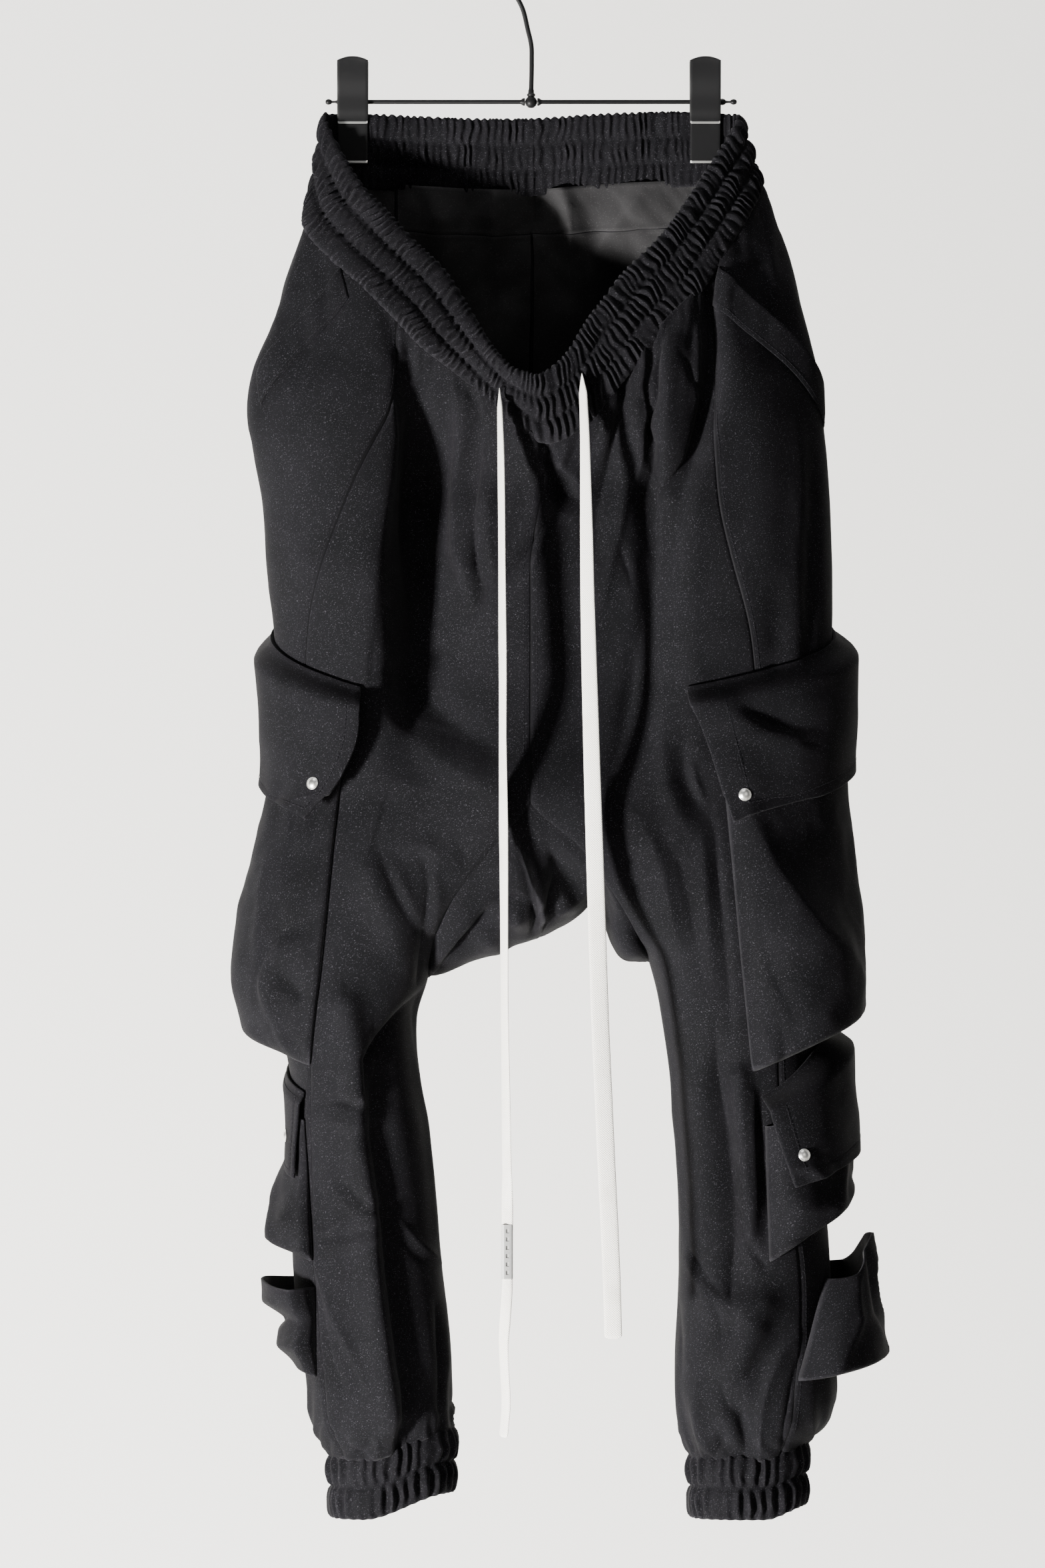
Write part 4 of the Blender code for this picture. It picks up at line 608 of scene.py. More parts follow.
def bilinear(values: Array, row: Array, column: Array) -> Array:
    """Values of a grid at fractional rows and columns."""
    j = np.clip(np.floor(row).astype(int), 0, values.shape[0] - 2)
    i = np.clip(np.floor(column).astype(int), 0, values.shape[1] - 2)
    v = np.clip(row - j, 0, 1)[..., None]
    u = np.clip(column - i, 0, 1)[..., None]
    upper = mix(values[j, i], values[j, i + 1], u)
    lower = mix(values[j + 1, i], values[j + 1, i + 1], u)
    return mix(upper, lower, v)


def to_metres(places: Array) -> Array:
    """Places in metres from millimetres measured at the bar."""
    return (np.asarray(places, float) + (0.0, 0.0, BAR_Z)) * MM


def pointing(place: Sequence[float], axis: Sequence[float]) -> Matrix:
    """The move that puts a shape's Z along an axis at a place in millimetres."""
    turn = Vector(axis).normalized().to_track_quat("Z", "Y").to_matrix().to_4x4()
    return Matrix.Translation(Vector(to_metres(place))) @ turn


# ------------------------------------------------------------------ meshes
def link(name: str, mesh: Mesh, material: Material,
         nodes: Sequence[str] = ()) -> Piece:
    """Put a finished mesh in the scene as a piece of the object.

    Args:
        name: piece name.
        mesh: its mesh, in place.
        material: its finish.
        nodes: CAD nodes that it stands for.

    Returns:
        The new object.
    """
    mesh.materials.append(material)
    obj = bpy.data.objects.new(name, mesh)
    bpy.context.scene.collection.objects.link(obj)
    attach(obj, "root")
    if nodes:
        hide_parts(*nodes)
    return obj


def from_bmesh(name: str, bm: bmesh.types.BMesh, crisp: float = 60.0) -> Mesh:
    """Finish a bmesh as a smooth mesh whose edges above an angle stay crisp."""
    bmesh.ops.remove_doubles(bm, verts=bm.verts, dist=1e-6)
    bmesh.ops.recalc_face_normals(bm, faces=bm.faces)
    mesh = bpy.data.meshes.new(name)
    bm.to_mesh(mesh)
    bm.free()
    mesh.shade_smooth()
    mesh.set_sharp_from_angle(angle=radians(crisp))
    return mesh


def grid_mesh(name: str, places: Array, wrap_across: bool = False,
              wrap_down: bool = False, outward: Optional[Array] = None) -> Mesh:
    """A grid laid on places in millimetres, with a map in metres along it.

    Args:
        name: mesh name.
        places: rows and columns of places.
        wrap_across: whether the last column meets the first.
        wrap_down: whether the last row meets the first.
        outward: a direction that the middle of an open grid faces.

    Returns:
        The mesh.
    """
    if wrap_across:
        places = np.concatenate((places, places[:, :1]), axis=1)
    if wrap_down:
        places = np.concatenate((places, places[:1]), axis=0)
    rows, columns = places.shape[:2]
    bm = bmesh.new()
    bmesh.ops.create_grid(bm, x_segments=columns - 1, y_segments=rows - 1, size=1.0)
    mesh = bpy.data.meshes.new(name)
    bm.to_mesh(mesh)
    bm.free()
    co = np.empty(len(mesh.vertices) * 3, np.float32)
    mesh.vertices.foreach_get("co", co)
    co = co.reshape(-1, 3)
    i = np.rint((co[:, 0] + 1.0) / 2.0 * (columns - 1)).astype(int)
    j = np.rint((co[:, 1] + 1.0) / 2.0 * (rows - 1)).astype(int)
    mesh.vertices.foreach_set("co", to_metres(places[j, i]).astype(np.float32).ravel())
    chart = np.stack((np.broadcast_to(along_rows(places).mean(axis=0), (rows, columns)),
                      np.broadcast_to(down_columns(places).mean(axis=1)[:, None],
                                      (rows, columns))), axis=-1) * MM
    corners = np.empty(len(mesh.loops), np.int32)
    mesh.loops.foreach_get("vertex_index", corners)
    layer = mesh.uv_layers.new(name="UVMap")
    layer.uv.foreach_set("vector", chart[j, i][corners].astype(np.float32).ravel())
    bm = bmesh.new()
    bm.from_mesh(mesh)
    if wrap_across or wrap_down:
        bmesh.ops.remove_doubles(bm, verts=bm.verts, dist=1e-6)
        bmesh.ops.recalc_face_normals(bm, faces=bm.faces)
    elif outward is not None:
        bm.normal_update()
        facing = sum((face.normal for face in bm.faces), Vector())
        if facing.dot(Vector(outward)) < 0:
            bmesh.ops.reverse_faces(bm, faces=bm.faces)
    bm.to_mesh(mesh)
    bm.free()
    mesh.shade_smooth()
    return mesh


def thicken(obj: Piece, wall: float, lining: Optional[Material] = None,
            round_edge: float = 0.0, rim: Optional[Material] = None) -> None:
    """Give a cloth grid its wall, evenly to both sides.

    Args:
        obj: the piece.
        wall: thickness in millimetres.
        lining: the finish of its inner face, where it differs.
        round_edge: rounding of its rim in millimetres.
        rim: the finish of its cut edge, where it differs.
    """
    solid = obj.modifiers.new("wall", "SOLIDIFY")
    solid.thickness = wall * MM
    solid.offset = 0.0
    if lining is not None:
        obj.data.materials.append(lining)
        solid.material_offset = 1
    if rim is not None:
        obj.data.materials.append(rim)
        solid.material_offset_rim = len(obj.data.materials) - 1
    if round_edge:
        bevel = obj.modifiers.new("rim", "BEVEL")
        bevel.width = round_edge * MM
        bevel.segments = 2
        bevel.limit_method = "ANGLE"
        bevel.angle_limit = radians(60.0)


def cloth_piece(node: str, places: Array, facing: Sequence[float], material: Material,
                wall: float, **edges: object) -> Piece:
    """Make a hanging cloth piece that stands for its CAD node.

    Args:
        node: the node's name.
        places: the piece's grid.
        facing: the way that it faces.
        material: its outer finish.
        wall: thickness in millimetres.
        edges: the lining, rim and round_edge that thicken takes.

    Returns:
        The piece.
    """
    name = "cloth_" + node
    obj = link(name, grid_mesh(name, places, outward=facing), material, [node])
    thicken(obj, wall, **edges)
    return obj


@dataclass
class Thread:
    """Rows of stitches, gathered into one piece."""

    name: str
    pitch: float = 3.0
    length: float = 2.2
    thick: float = 0.42
    taper: float = 0.7
    routes: list = field(default_factory=list)

    def add(self, route: Array, normals: Array, lift: float = 1.0) -> None:
        """Lay a row of stitches above a route that lies on a cloth's middle."""
        self.routes.append(route + normals * lift)

    def build(self, material: Material) -> Piece:
        """Make the stitches as short tapered prisms.

        Args:
            material: the thread's finish.

        Returns:
            The new piece.
        """
        bm = bmesh.new()
        radius = self.thick / 2 * MM
        for route in self.routes:
            run = along_rows(route[None])[0]
            count = int(run[-1] / self.pitch)
            marks = (np.arange(count) + 0.5) * run[-1] / max(count, 1)
            ahead, behind = on_line(marks + 1.0, run, route), on_line(marks - 1.0, run, route)
            for place, along in zip(on_line(marks, run, route), ahead - behind):
                bmesh.ops.create_cone(bm, cap_ends=True, segments=4, radius1=radius,
                                      radius2=radius * self.taper, depth=self.length * MM,
                                      matrix=pointing(place, along))
        mesh = bpy.data.meshes.new(self.name)
        bm.to_mesh(mesh)
        bm.free()
        mesh.shade_smooth()
        return link(self.name, mesh, material)


# ------------------------------------------------------------------ finishes
class Nodes:
    """A short way to wire a node tree."""

    def __init__(self, tree: bpy.types.NodeTree) -> None:
        """Keep the tree that the nodes go into."""
        self.tree = tree

    def add(self, kind: str, links: Optional[dict] = None, **settings: object) -> bpy.types.Node:
        """Add a node.

        Args:
            kind: node type without its ShaderNode prefix, or a full name.
            links: inputs by name or number, as values or as output sockets.
            settings: properties of the node.

        Returns:
            The node.
        """
        node = self.tree.nodes.new(kind if kind.startswith("Node") else "ShaderNode" + kind)
        for key, value in settings.items():
            setattr(node, key, value)
        self.join(node, links or {})
        return node

    def join(self, node: bpy.types.Node, links: dict) -> None:
        """Feed a node's inputs.

        Args:
            node: the node.
            links: values or output sockets by the input's name or number.
        """
        for key, value in links.items():
            if isinstance(value, Socket):
                self.tree.links.new(value, node.inputs[key])
            else:
                node.inputs[key].default_value = value

    def place(self) -> Socket:
        """Place on the object."""
        return self.add("TexCoord").outputs["Object"]

    def maths(self, operation: str, *values: object) -> Socket:
        """Result of a maths node."""
        return self.add("Math", dict(enumerate(values)), operation=operation).outputs[0]

    def noise(self, place: Socket, scale: object, detail: float,
              **more: float) -> Socket:
        """Cloudy noise over a place."""
        links = {"Vector": place, "Scale": scale, "Detail": detail, **more}
        return self.add("TexNoise", links).outputs[0]

    def blend(self, share: object, a: object, b: object) -> Socket:
        """Colour between a and b, each a socket or three numbers."""
        a, b = (c if isinstance(c, Socket) else (*c, 1.0) for c in (a, b))
        return self.add("Mix", {0: share, 6: a, 7: b}, data_type="RGBA").outputs[2]

    def ramp(self, value: object, low: float, high: float, to_low: float = 0.0,
             to_high: float = 1.0) -> Socket:
        """A value moved from one range to another, with soft ends."""
        return self.add("MapRange", {0: value, 1: low, 2: high, 3: to_low, 4: to_high},
                        interpolation_type="SMOOTHSTEP").outputs[0]

    def bump(self, height: object, strength: float, distance: float) -> Socket:
        """Normal of a relief."""
        links = {"Height": height, "Strength": strength, "Distance": distance}
        return self.add("Bump", links).outputs[0]


def new_group(name: str, inputs: dict, outputs: Sequence[str]) -> tuple:
    """Start a shader node group whose inputs and outputs are values.

    Args:
        name: group name.
        inputs: default of each input by its name.
        outputs: names of the outputs.

    Returns:
        The group's nodes, the sockets of its inputs and its end node.
    """
    tree = bpy.data.node_groups.new(name, "ShaderNodeTree")
    for way, titles in (("INPUT", inputs), ("OUTPUT", outputs)):
        for title in titles:
            socket = tree.interface.new_socket(title, in_out=way, socket_type="NodeSocketFloat")
            if way == "INPUT":
                socket.default_value = inputs[title]
    nodes = Nodes(tree)
    return nodes, nodes.add("NodeGroupInput").outputs, nodes.add("NodeGroupOutput")


def knit_group() -> bpy.types.NodeTree:
    """Fine knit: rows of loops, single bright fibres and a cloudy tone."""
    n, given, end = new_group("knit", {"Loops": 1400.0, "Specks": 900.0},
                              ("Height", "Speck", "Cloud"))
    place = n.place()
    scaled = n.add("VectorMath", {0: n.add("UVMap").outputs[0], "Scale": given["Loops"]},
                   operation="SCALE").outputs[0]
    split = n.add("SeparateXYZ", {0: scaled}).outputs
    across, down = (n.maths("SINE", n.maths("MULTIPLY", split[axis], turns * pi))
                    for axis, turns in ((0, 2.0), (1, 2.6)))
    loops = n.maths("MULTIPLY", n.maths("MULTIPLY", across, down), 0.35)
    fibres = n.noise(place, given["Specks"], 2.0, Roughness=0.7)
    n.join(end, {"Height": n.maths("ADD", loops, n.noise(place, 2600.0, 1.0)),
                 "Speck": n.ramp(fibres, 0.59, 0.72),
                 "Cloud": n.ramp(n.noise(place, 28.0, 4.0), 0.3, 0.7)})
    return n.tree


def metal_group() -> bpy.types.NodeTree:
    """Handled metal: faint brushing, small dents and rubbed spots."""
    n, given, end = new_group("handled_metal", {"Fine": 1500.0}, ("Height", "Rub"))
    place = n.place()
    stretched = n.add("Mapping", {"Vector": place, "Scale": (0.12, 1.0, 1.0)}).outputs[0]
    brushing = n.maths("MULTIPLY", n.noise(stretched, given["Fine"], 3.0), 0.4)
    rub = n.noise(place, 90.0, 5.0, Roughness=0.75)
    n.join(end, {"Height": n.maths("ADD", brushing, n.noise(place, 160.0, 2.0)),
                 "Rub": n.ramp(rub, 0.55, 0.72)})
    return n.tree


@dataclass(frozen=True)
class Finish:
    """A surface finish that makes one material."""

    name: str
    colour: tuple
    roughness: float

    def start(self, metallic: float = 0.0) -> tuple:
        """A material with its Principled shader and wiring.

        Args:
            metallic: 1 for bare metal.

        Returns:
            The material, its nodes and its shader node.
        """
        material = bpy.data.materials.new(self.name)
        material.use_nodes = True
        nodes = Nodes(material.node_tree)
        shader = nodes.tree.nodes["Principled BSDF"]
        nodes.join(shader, {"Base Color": (*self.colour, 1.0), "Roughness": self.roughness,
                            "Metallic": metallic})
        return material, nodes, shader


@dataclass(frozen=True)
class Jersey(Finish):
    """Knitted cloth with a soft nap."""

    speck: tuple = (0.085, 0.082, 0.094)
    speck_share: float = 0.42
    worn: tuple = (0.0048, 0.0046, 0.0055)
    worn_edge: float = 0.12
    relief: float = 0.25
    sheen: float = 0.015
    loops: float = 1400.0
    specks: float = 1250.0

    def build(self, knit: bpy.types.NodeTree) -> Material:
        """Make the material.

        Args:
            knit: the shared knit group.

        Returns:
            The material.
        """
        material, n, shader = self.start()
        cloth = n.add("Group", {"Loops": self.loops, "Specks": self.specks},
                      node_tree=knit).outputs
        colour = n.blend(cloth["Cloud"], self.colour, self.worn)
        colour = n.blend(n.maths("MULTIPLY", cloth["Speck"], self.speck_share), colour, self.speck)
        edge = n.ramp(n.add("NewGeometry").outputs["Pointiness"], 0.53, 0.62)
        colour = n.blend(n.maths("MULTIPLY", edge, self.worn_edge), colour, self.speck)
        rough = n.ramp(cloth["Cloud"], 0.0, 1.0, self.roughness - 0.06, self.roughness + 0.04)
        n.join(shader, {"Base Color": colour, "Roughness": rough,
                        "Normal": n.bump(cloth["Height"], self.relief, 0.0004),
                        "Sheen Weight": self.sheen, "Sheen Roughness": 0.45,
                        "Specular IOR Level": 0.04})
        return material


@dataclass(frozen=True)
class Metal(Finish):
    """Painted or plated metal that has been handled."""

    rubbed: tuple = (0.3, 0.3, 0.3)
    rubbed_share: float = 0.2
    metallic: float = 1.0
    coat: float = 0.0
    level: float = 0.5
    relief: float = 0.06

    def build(self, handled: bpy.types.NodeTree) -> Material:
        """Make the material.

        Args:
            handled: the shared metal group.

        Returns:
            The material.
        """
        material, n, shader = self.start(self.metallic)
        worn = n.add("Group", node_tree=handled).outputs
        share = n.maths("MULTIPLY", worn["Rub"], self.rubbed_share)
        rough = n.ramp(worn["Rub"], 0.0, 1.0, self.roughness, self.roughness + 0.15)
        n.join(shader, {"Base Color": n.blend(share, self.colour, self.rubbed),
                        "Roughness": rough, "Normal": n.bump(worn["Height"], self.relief, 0.0003),
                        "Coat Weight": self.coat, "Coat Roughness": 0.2,
                        "Specular IOR Level": self.level})
        return material


@dataclass(frozen=True)
class Braid(Finish):
    """Flat braided cotton: plaited strands in two slants, with painted shade in the plait's
    grooves and random grime.
    """

    # one colour for both the painted shade in the plait's grooves and the random grime
    groove_shade_and_grime: tuple = (0.46, 0.43, 0.38)
    strands: float = 620.0

    def build(self) -> Material:
        """Make the material.

        Returns:
            The material.
        """
        material, n, shader = self.start()
        split = n.add("SeparateXYZ", {0: n.add("UVMap").outputs[0]}).outputs
        across, down = (n.maths("MULTIPLY", split[axis], self.strands * 2.0 * pi)
                        for axis in (0, 1))
        plait = n.maths("MAXIMUM", n.maths("SINE", n.maths("ADD", across, down)),
                        n.maths("SINE", n.maths("SUBTRACT", down, across)))
        place = n.place()
        fuzz = n.maths("MULTIPLY", n.noise(place, 2400.0, 2.0), 0.8)
        # painted shade: the plait's grooves are coloured darker than its strands
        colour = n.blend(n.ramp(plait, -0.4, 0.5), self.groove_shade_and_grime, self.colour)
        grime = n.ramp(n.noise(place, 45.0, 3.0), 0.5, 0.8, 0.0, 0.35)
        n.join(shader, {"Base Color": n.blend(grime, colour, self.groove_shade_and_grime),
                        "Normal": n.bump(n.maths("ADD", plait, fuzz), 0.5, 0.0004),
                        "Sheen Weight": 0.2})
        return material


@dataclass(frozen=True)
class Paint(Finish):
    """A plain studio wall with a faint roller texture."""

    def build(self) -> Material:
        """Make the material.

        Returns:
            The material.
        """
        material, n, shader = self.start()
        n.join(shader, {"Normal": n.bump(n.noise(n.place(), 90.0, 3.0), 0.05, 0.001)})
        return material


@dataclass
class Wardrobe:
    """Every finish of the trousers and their hanger."""

    jersey: Material = field(init=False)
    lining: Material = field(init=False)
    rib: Material = field(init=False)
    thread: Material = field(init=False)
    steel: Material = field(init=False)
    silver: Material = field(init=False)
    tin: Material = field(init=False)
    braid: Material = field(init=False)

    def __post_init__(self) -> None:
        """Build the shared groups and the materials."""
        knit = knit_group()
        handled = metal_group()
        self.jersey = Jersey("black_jersey_outside", (0.0028, 0.0027, 0.0033), 0.84).build(knit)
        self.lining = Jersey("brushed_inside", (0.015, 0.0147, 0.0152), 0.95,
                             speck=(0.08, 0.078, 0.08), worn=(0.022, 0.0216, 0.0222), sheen=0.04,
                             relief=0.5).build(knit)
        self.rib = Jersey("gathered_band", (0.0025, 0.0024, 0.003), 0.82).build(knit)
        # black thread for the stitches; the panels also use it on their cut edges and along their
        # seams as painted shade in the seams
        self.thread = Jersey("black_thread_and_seam_shade", (0.0012, 0.0012, 0.0014), 0.8, speck_share=0.0,
                             worn=(0.0016, 0.0016, 0.0018), relief=0.1, sheen=0.0).build(knit)
        self.steel = Metal("painted_steel", (0.0042, 0.0042, 0.0045), 0.5, metallic=0.0,
                           rubbed=(0.012, 0.012, 0.012), coat=0.02, level=0.12).build(handled)
        self.silver = Metal("plated_silver", (0.82, 0.81, 0.78), 0.34, relief=0.015,
                            rubbed=(0.72, 0.71, 0.68)).build(handled)
        self.tin = Metal("dull_tin", (0.42, 0.42, 0.41), 0.42, metallic=0.6,
                         rubbed=(0.3, 0.3, 0.29)).build(handled)
        self.braid = Braid("cotton_braid", (0.86, 0.84, 0.79), 0.95).build()


# ------------------------------------------------------------------ the trouser surface
class Plan(NamedTuple):
    """A plan section of one half."""

    half: Array
    centre: Array
    middle: Array
    depth: Array
    turn: Array
    seam: Array


# Rows from the band to the fork, down the yoke, beside the gusset and down the leg.
BODY_ROWS = 150
YOKE_ROWS = 14
GUSSET_ROWS = 48
LEG_ROWS = 146
COLUMNS = {"front": 84, "side": 34, "back": 42}
# Drops of the gusset's side corners.
GUSSET_CORNER = {Side.LEFT: 620.9, Side.RIGHT: 612.0}
TUCK = -5.0                     # panel tops run this far up inside the waistband
SEAM_DIP = -0.9                 # depth and half width of the groove along a seam
SEAM_WIDTH = 1.0
# How far the gusset hangs below its four seams, from its left corner to its right one.
SAG = np.array([
    (-1.0, 0.0), (-0.85, 17.0), (-0.65, 36.0), (-0.45, 43.0), (-0.15, 43.0), (0.05, 39.0),
    (0.25, 25.0), (0.45, 5.0), (0.56, 18.0), (0.66, 27.0), (0.78, 19.0), (1.0, 0.0)])


def level_of(drop: Array) -> Array:
    """Panel level of a drop at or below the fork."""
    return 1.0 + (drop - FORK_DROP) / (CUFF_DROP - FORK_DROP)


@dataclass
class Half:
    """One half of the trousers as one surface, cut later into its panels."""

    side: Side
    columns: Array = field(init=False)
    levels: Array = field(init=False)
    places: Array = field(init=False)
    normals: Array = field(init=False)
    cuts: dict = field(init=False)

    def __post_init__(self) -> None:
        """Lay the surface out."""
        front, middle, back = (
            start + self.with_borders(COLUMNS[part])
            for start, part in enumerate(("front", "side", "back")))
        self.columns = np.concatenate((front, middle[1:], back[1:]))
        a, b = len(front) - 1, len(front) + len(middle) - 2
        self.cuts = {"front": (0, a), "side": (a, b), "back": (b, len(self.columns) - 1)}
        corner = level_of(GUSSET_CORNER[self.side])
        self.levels = np.concatenate((
            np.linspace(0.0, YOKE_LEVEL, YOKE_ROWS),
            np.linspace(YOKE_LEVEL, 1.0, BODY_ROWS - YOKE_ROWS)[1:],
            np.linspace(1.0, corner, GUSSET_ROWS)[1:],
            np.linspace(corner, 2.0, LEG_ROWS)[1:]))
        self.places, self.normals = self.lay_out()

    @staticmethod
    def with_borders(count: int) -> Array:
        """Even marks from 0 to 1 with two more columns close to each border."""
        even = np.linspace(0.0, 1.0, count)
        near = np.array((0.0032, 0.011)) * 84.0 / count
        even = even[(even > near[1] * 1.3) & (even < 1.0 - near[1] * 1.3)]
        return np.concatenate(((0.0,), near, even, 1.0 - near[::-1], (1.0,)))

    @property
    def fork_row(self) -> int:
        """Row at the gusset's tips."""
        return BODY_ROWS - 2

    @property
    def corner_row(self) -> int:
        """Row at the gusset's corner on this half."""
        return self.fork_row + GUSSET_ROWS - 1

    def plan(self, drop: Array) -> Plan:
        """Plan section at drops.

        Args:
            drop: drops.

        Returns:
            Half the width, the x and y of the middle, half the depth, the turn of the inner
            wall and the x of the front seam.
        """
        out, seam, inner, turn, front, back = np.moveaxis(
            read_table(SECTIONS[self.side], drop), -1, 0)
        above = np.asarray(drop) <= FORK_DROP
        inner = np.where(above, CENTRE_X, inner)
        turn = np.where(above, 0.0, np.minimum(turn, 90.0))
        half = self.side.sign * (out - inner) / (1.0 + np.sin(np.radians(turn)))
        return Plan(half, out - self.side.sign * half, (front + back) / 2,
                    (back - front) / 2, turn, seam)

    def angle_at(self, drop: Array, x: Array) -> Array:
        """Where the front wall is at an x.

        Args:
            drop: drops.
            x: across the front.

        Returns:
            Degrees from the outermost line, round the front.
        """
        plan = self.plan(drop)
        reach = self.side.sign * (x - plan.centre) / plan.half
        size = np.minimum(np.abs(reach), 1.0) ** (1.0 / SIDE_POWER)
        return np.degrees(np.arccos(np.where(reach >= 0, size, -size)))

    def wall(self, drop: Array, angle: Array) -> Array:
        """Cloth's middle with its main folds.

        Args:
            drop: drops.
            angle: degrees from the outermost line, above 0 round the front.

        Returns:
            The places.
        """
        plan = self.plan(drop)
        turn = np.radians(angle)
        x = plan.centre + self.side.sign * plan.half * signed_power(np.cos(turn), SIDE_POWER)
        y = plan.middle - plan.depth * signed_power(np.sin(turn), SIDE_POWER)
        rise = np.where(angle > 0, -crease_rise(FRONT_FOLDS, x, drop),
                        crease_rise(BACK_FOLDS, x, drop))
        y = y + rise * np.abs(np.sin(turn)) * smooth(np.abs(angle) / 40.0)
        y = y + np.where(angle > 0, self.hollow(x, drop), 0.0)
        return np.stack((x, y, -drop + 0.0 * x), axis=-1)

    @staticmethod
    def hollow(x: Array, drop: Array) -> Array:
        """The belly hangs back between the hips and comes forward at the crotch."""
        belly = window(drop, *BELLY_DROPS) * window(x, *BELLY_X)
        crotch = np.exp(-((drop - CROTCH_DROP[0]) / CROTCH_DROP[1]) ** 2
                        - ((x - CROTCH_X[0]) / CROTCH_X[1]) ** 2)
        return BELLY * belly - CROTCH * crotch

    def relief(self, drop: Array, angle: Array, place: Array) -> Array:
        """How far small creases and the hand of the cloth lift the wall.

        Args:
            drop: drops.
            angle: degrees from the outermost line.
            place: places on the wall with its main folds.

        Returns:
            The lift.
        """
        facing = window(np.abs(angle), 0.0, 30.0, 180.0, 12.0)
        x = place[..., 0]
        rise = facing * np.where(angle > 0, FRONT_DEPTH * crease_rise(FRONT_CREASES, x, drop, 0.4),
                                 BACK_DEPTH * crease_rise(BACK_CREASES, x, drop, 0.3))
        rise = rise + crease_rise(SIDE_CREASES[self.side], angle, drop)
        return rise + uneven(place * (1.0, 1.0, 0.7), (1.5, 52.0, 0.0), (0.35, 17.0, 7.0))

    def tilt(self, place: Array) -> Array:
        """Let the hem ride up where the leg hangs askew."""
        up, start, reach = RIDE_UP[self.side]
        low = smooth((-place[..., 2] - RIDE_UP_DROPS[0]) / RIDE_UP_DROPS[1])
        place = place.copy()
        place[..., 2] += up * smooth((place[..., 0] - start) / reach) * low
        return place

    def dressed(self, drop: Array, angle: Array, lift: Array = 0.0) -> tuple:
        """Places that stand out from the creased wall.

        Args:
            drop: drops.
            angle: degrees from the outermost line.
            lift: distances from the cloth's middle.

        Returns:
            The places and the outward directions.
        """
        place = self.wall(drop, angle)
        along = self.wall(drop, angle + 1.5) - self.wall(drop, angle - 1.5)
        down = self.wall(drop + 2.0, angle) - self.wall(drop - 2.0, angle)
        normal = unit(np.cross(along, down))
        plan = self.plan(drop)
        outside = np.stack(((place[..., 0] - plan.centre) / plan.half ** 2,
                            (place[..., 1] - plan.middle) / HALF_DEPTH ** 2,
                            0.0 * place[..., 0]), axis=-1)
        normal = normal * np.where((normal * outside).sum(-1) < 0, -1.0, 1.0)[..., None]
        lifted = place + normal * (lift + self.relief(drop, angle, place))[..., None]
        return lifted, normal

    def column_angle(self, drop: Array, column: Array) -> Array:
        """Angles of panel columns.

        Args:
            drop: drops.
            column: 0 at the front edge, 1 and 2 at the side seams and 3 at the back edge.

        Returns:
            Degrees from the outermost line.
        """
        plan = self.plan(drop)
        edge = 90.0 + plan.turn
        seam = self.angle_at(drop, plan.seam)
        return np.where(column <= 1.0, mix(edge, seam, column),
                        np.where(column <= 2.0, mix(seam, -seam, column - 1.0),
                                 mix(-seam, -edge, column - 2.0)))

    def band_low(self, column: Array) -> Array:
        """Where panel tops end under the waistband."""
        mark = np.interp(column, (0.0, 1.0, 2.0, 3.0), BAND_SEAMS[self.side])
        top, low = band_edges(mark)
        return low + unit(low - top) * TUCK

    def lay_out(self) -> tuple:
        """Lay the folded and creased surface between the band and the cuff.

        Returns:
            Places and outward directions of the whole half.
        """
        column, level = np.meshgrid(self.columns, self.levels)
        start = self.band_low(column)
        top_drop = -start[..., 2]
        drop = np.where(level < 1.0, mix(top_drop, FORK_DROP, level),
                        mix(FORK_DROP, CUFF_DROP, level - 1.0))
        places, outside = self.dressed(drop, self.column_angle(drop, column))
        top = self.wall(top_drop, self.column_angle(top_drop, column))
        pull = np.where(level < 1.0, 1.0 - smooth(level / WAIST_FADE), 0.0)
        places[..., :2] += (start - top)[..., :2] * pull[..., None]
        normals = self.outward(places, outside)
        places = places + normals * self.seam_relief(places, drop, top_drop)[..., None]
        places = self.tilt(self.close_inseam(places))
        return places, self.outward(places, outside)

    @staticmethod
    def outward(places: Array, outside: Array) -> Array:
        """Grid normals turned to the outside."""
        normals = grid_normals(places)
        return normals if (normals * outside).sum() > 0 else -normals

    def seam_relief(self, places: Array, drop: Array, top_drop: Array) -> Array:
        """Dips along the seams and gathers below the band and above the cuff.

        Args:
            places: the half's grid.
            drop: its drops.
            top_drop: drops of the panel tops.

        Returns:
            The lift at each place.
        """
        def dip(away: Array) -> Array:
            """A groove along a seam."""
            return SEAM_DIP * np.exp(-(away / SEAM_WIDTH) ** 2)

        run = along_rows(places)
        rise = np.zeros(run.shape)
        for cut in (0, *self.cuts["side"], run.shape[1] - 1):
            rise += dip(run - run[:, cut:cut + 1])
        below = drop - top_drop
        back = slice(self.cuts["back"][0], None)
        rise[:, back] += dip(below - below[YOKE_ROWS - 1:YOKE_ROWS])[:, back]
        for edge, away in (("band", below), ("cuff", CUFF_DROP - drop)):
            for gather in GATHERS[edge]:
                chart = np.stack((run, away * gather.stretch), axis=-1)
                pleats = lumps(chart, gather.size, gather.seed + self.side.sign)
                rise += (gather.height * pleats * np.exp(-(away / gather.fade) ** 2)
                         * smooth(away / gather.start))
        return rise

    def close_inseam(self, places: Array, reach: float = 12.0) -> Array:
        """Let the front and back borders meet below the gusset.

        Args:
            places: the half's grid.
            reach: width over which the move fades out.

        Returns:
            The same grid, changed.
        """
        rows = slice(self.corner_row, None)
        run = along_rows(places)[rows]
        first, last = places[rows, 0], places[rows, -1]
        middle = (first + last) / 2
        near = smooth(1.0 - run / reach)[..., None]
        far = smooth(1.0 - (run[:, -1:] - run) / reach)[..., None]
        places[rows] += near * (middle - first)[:, None] + far * (middle - last)[:, None]
        return places

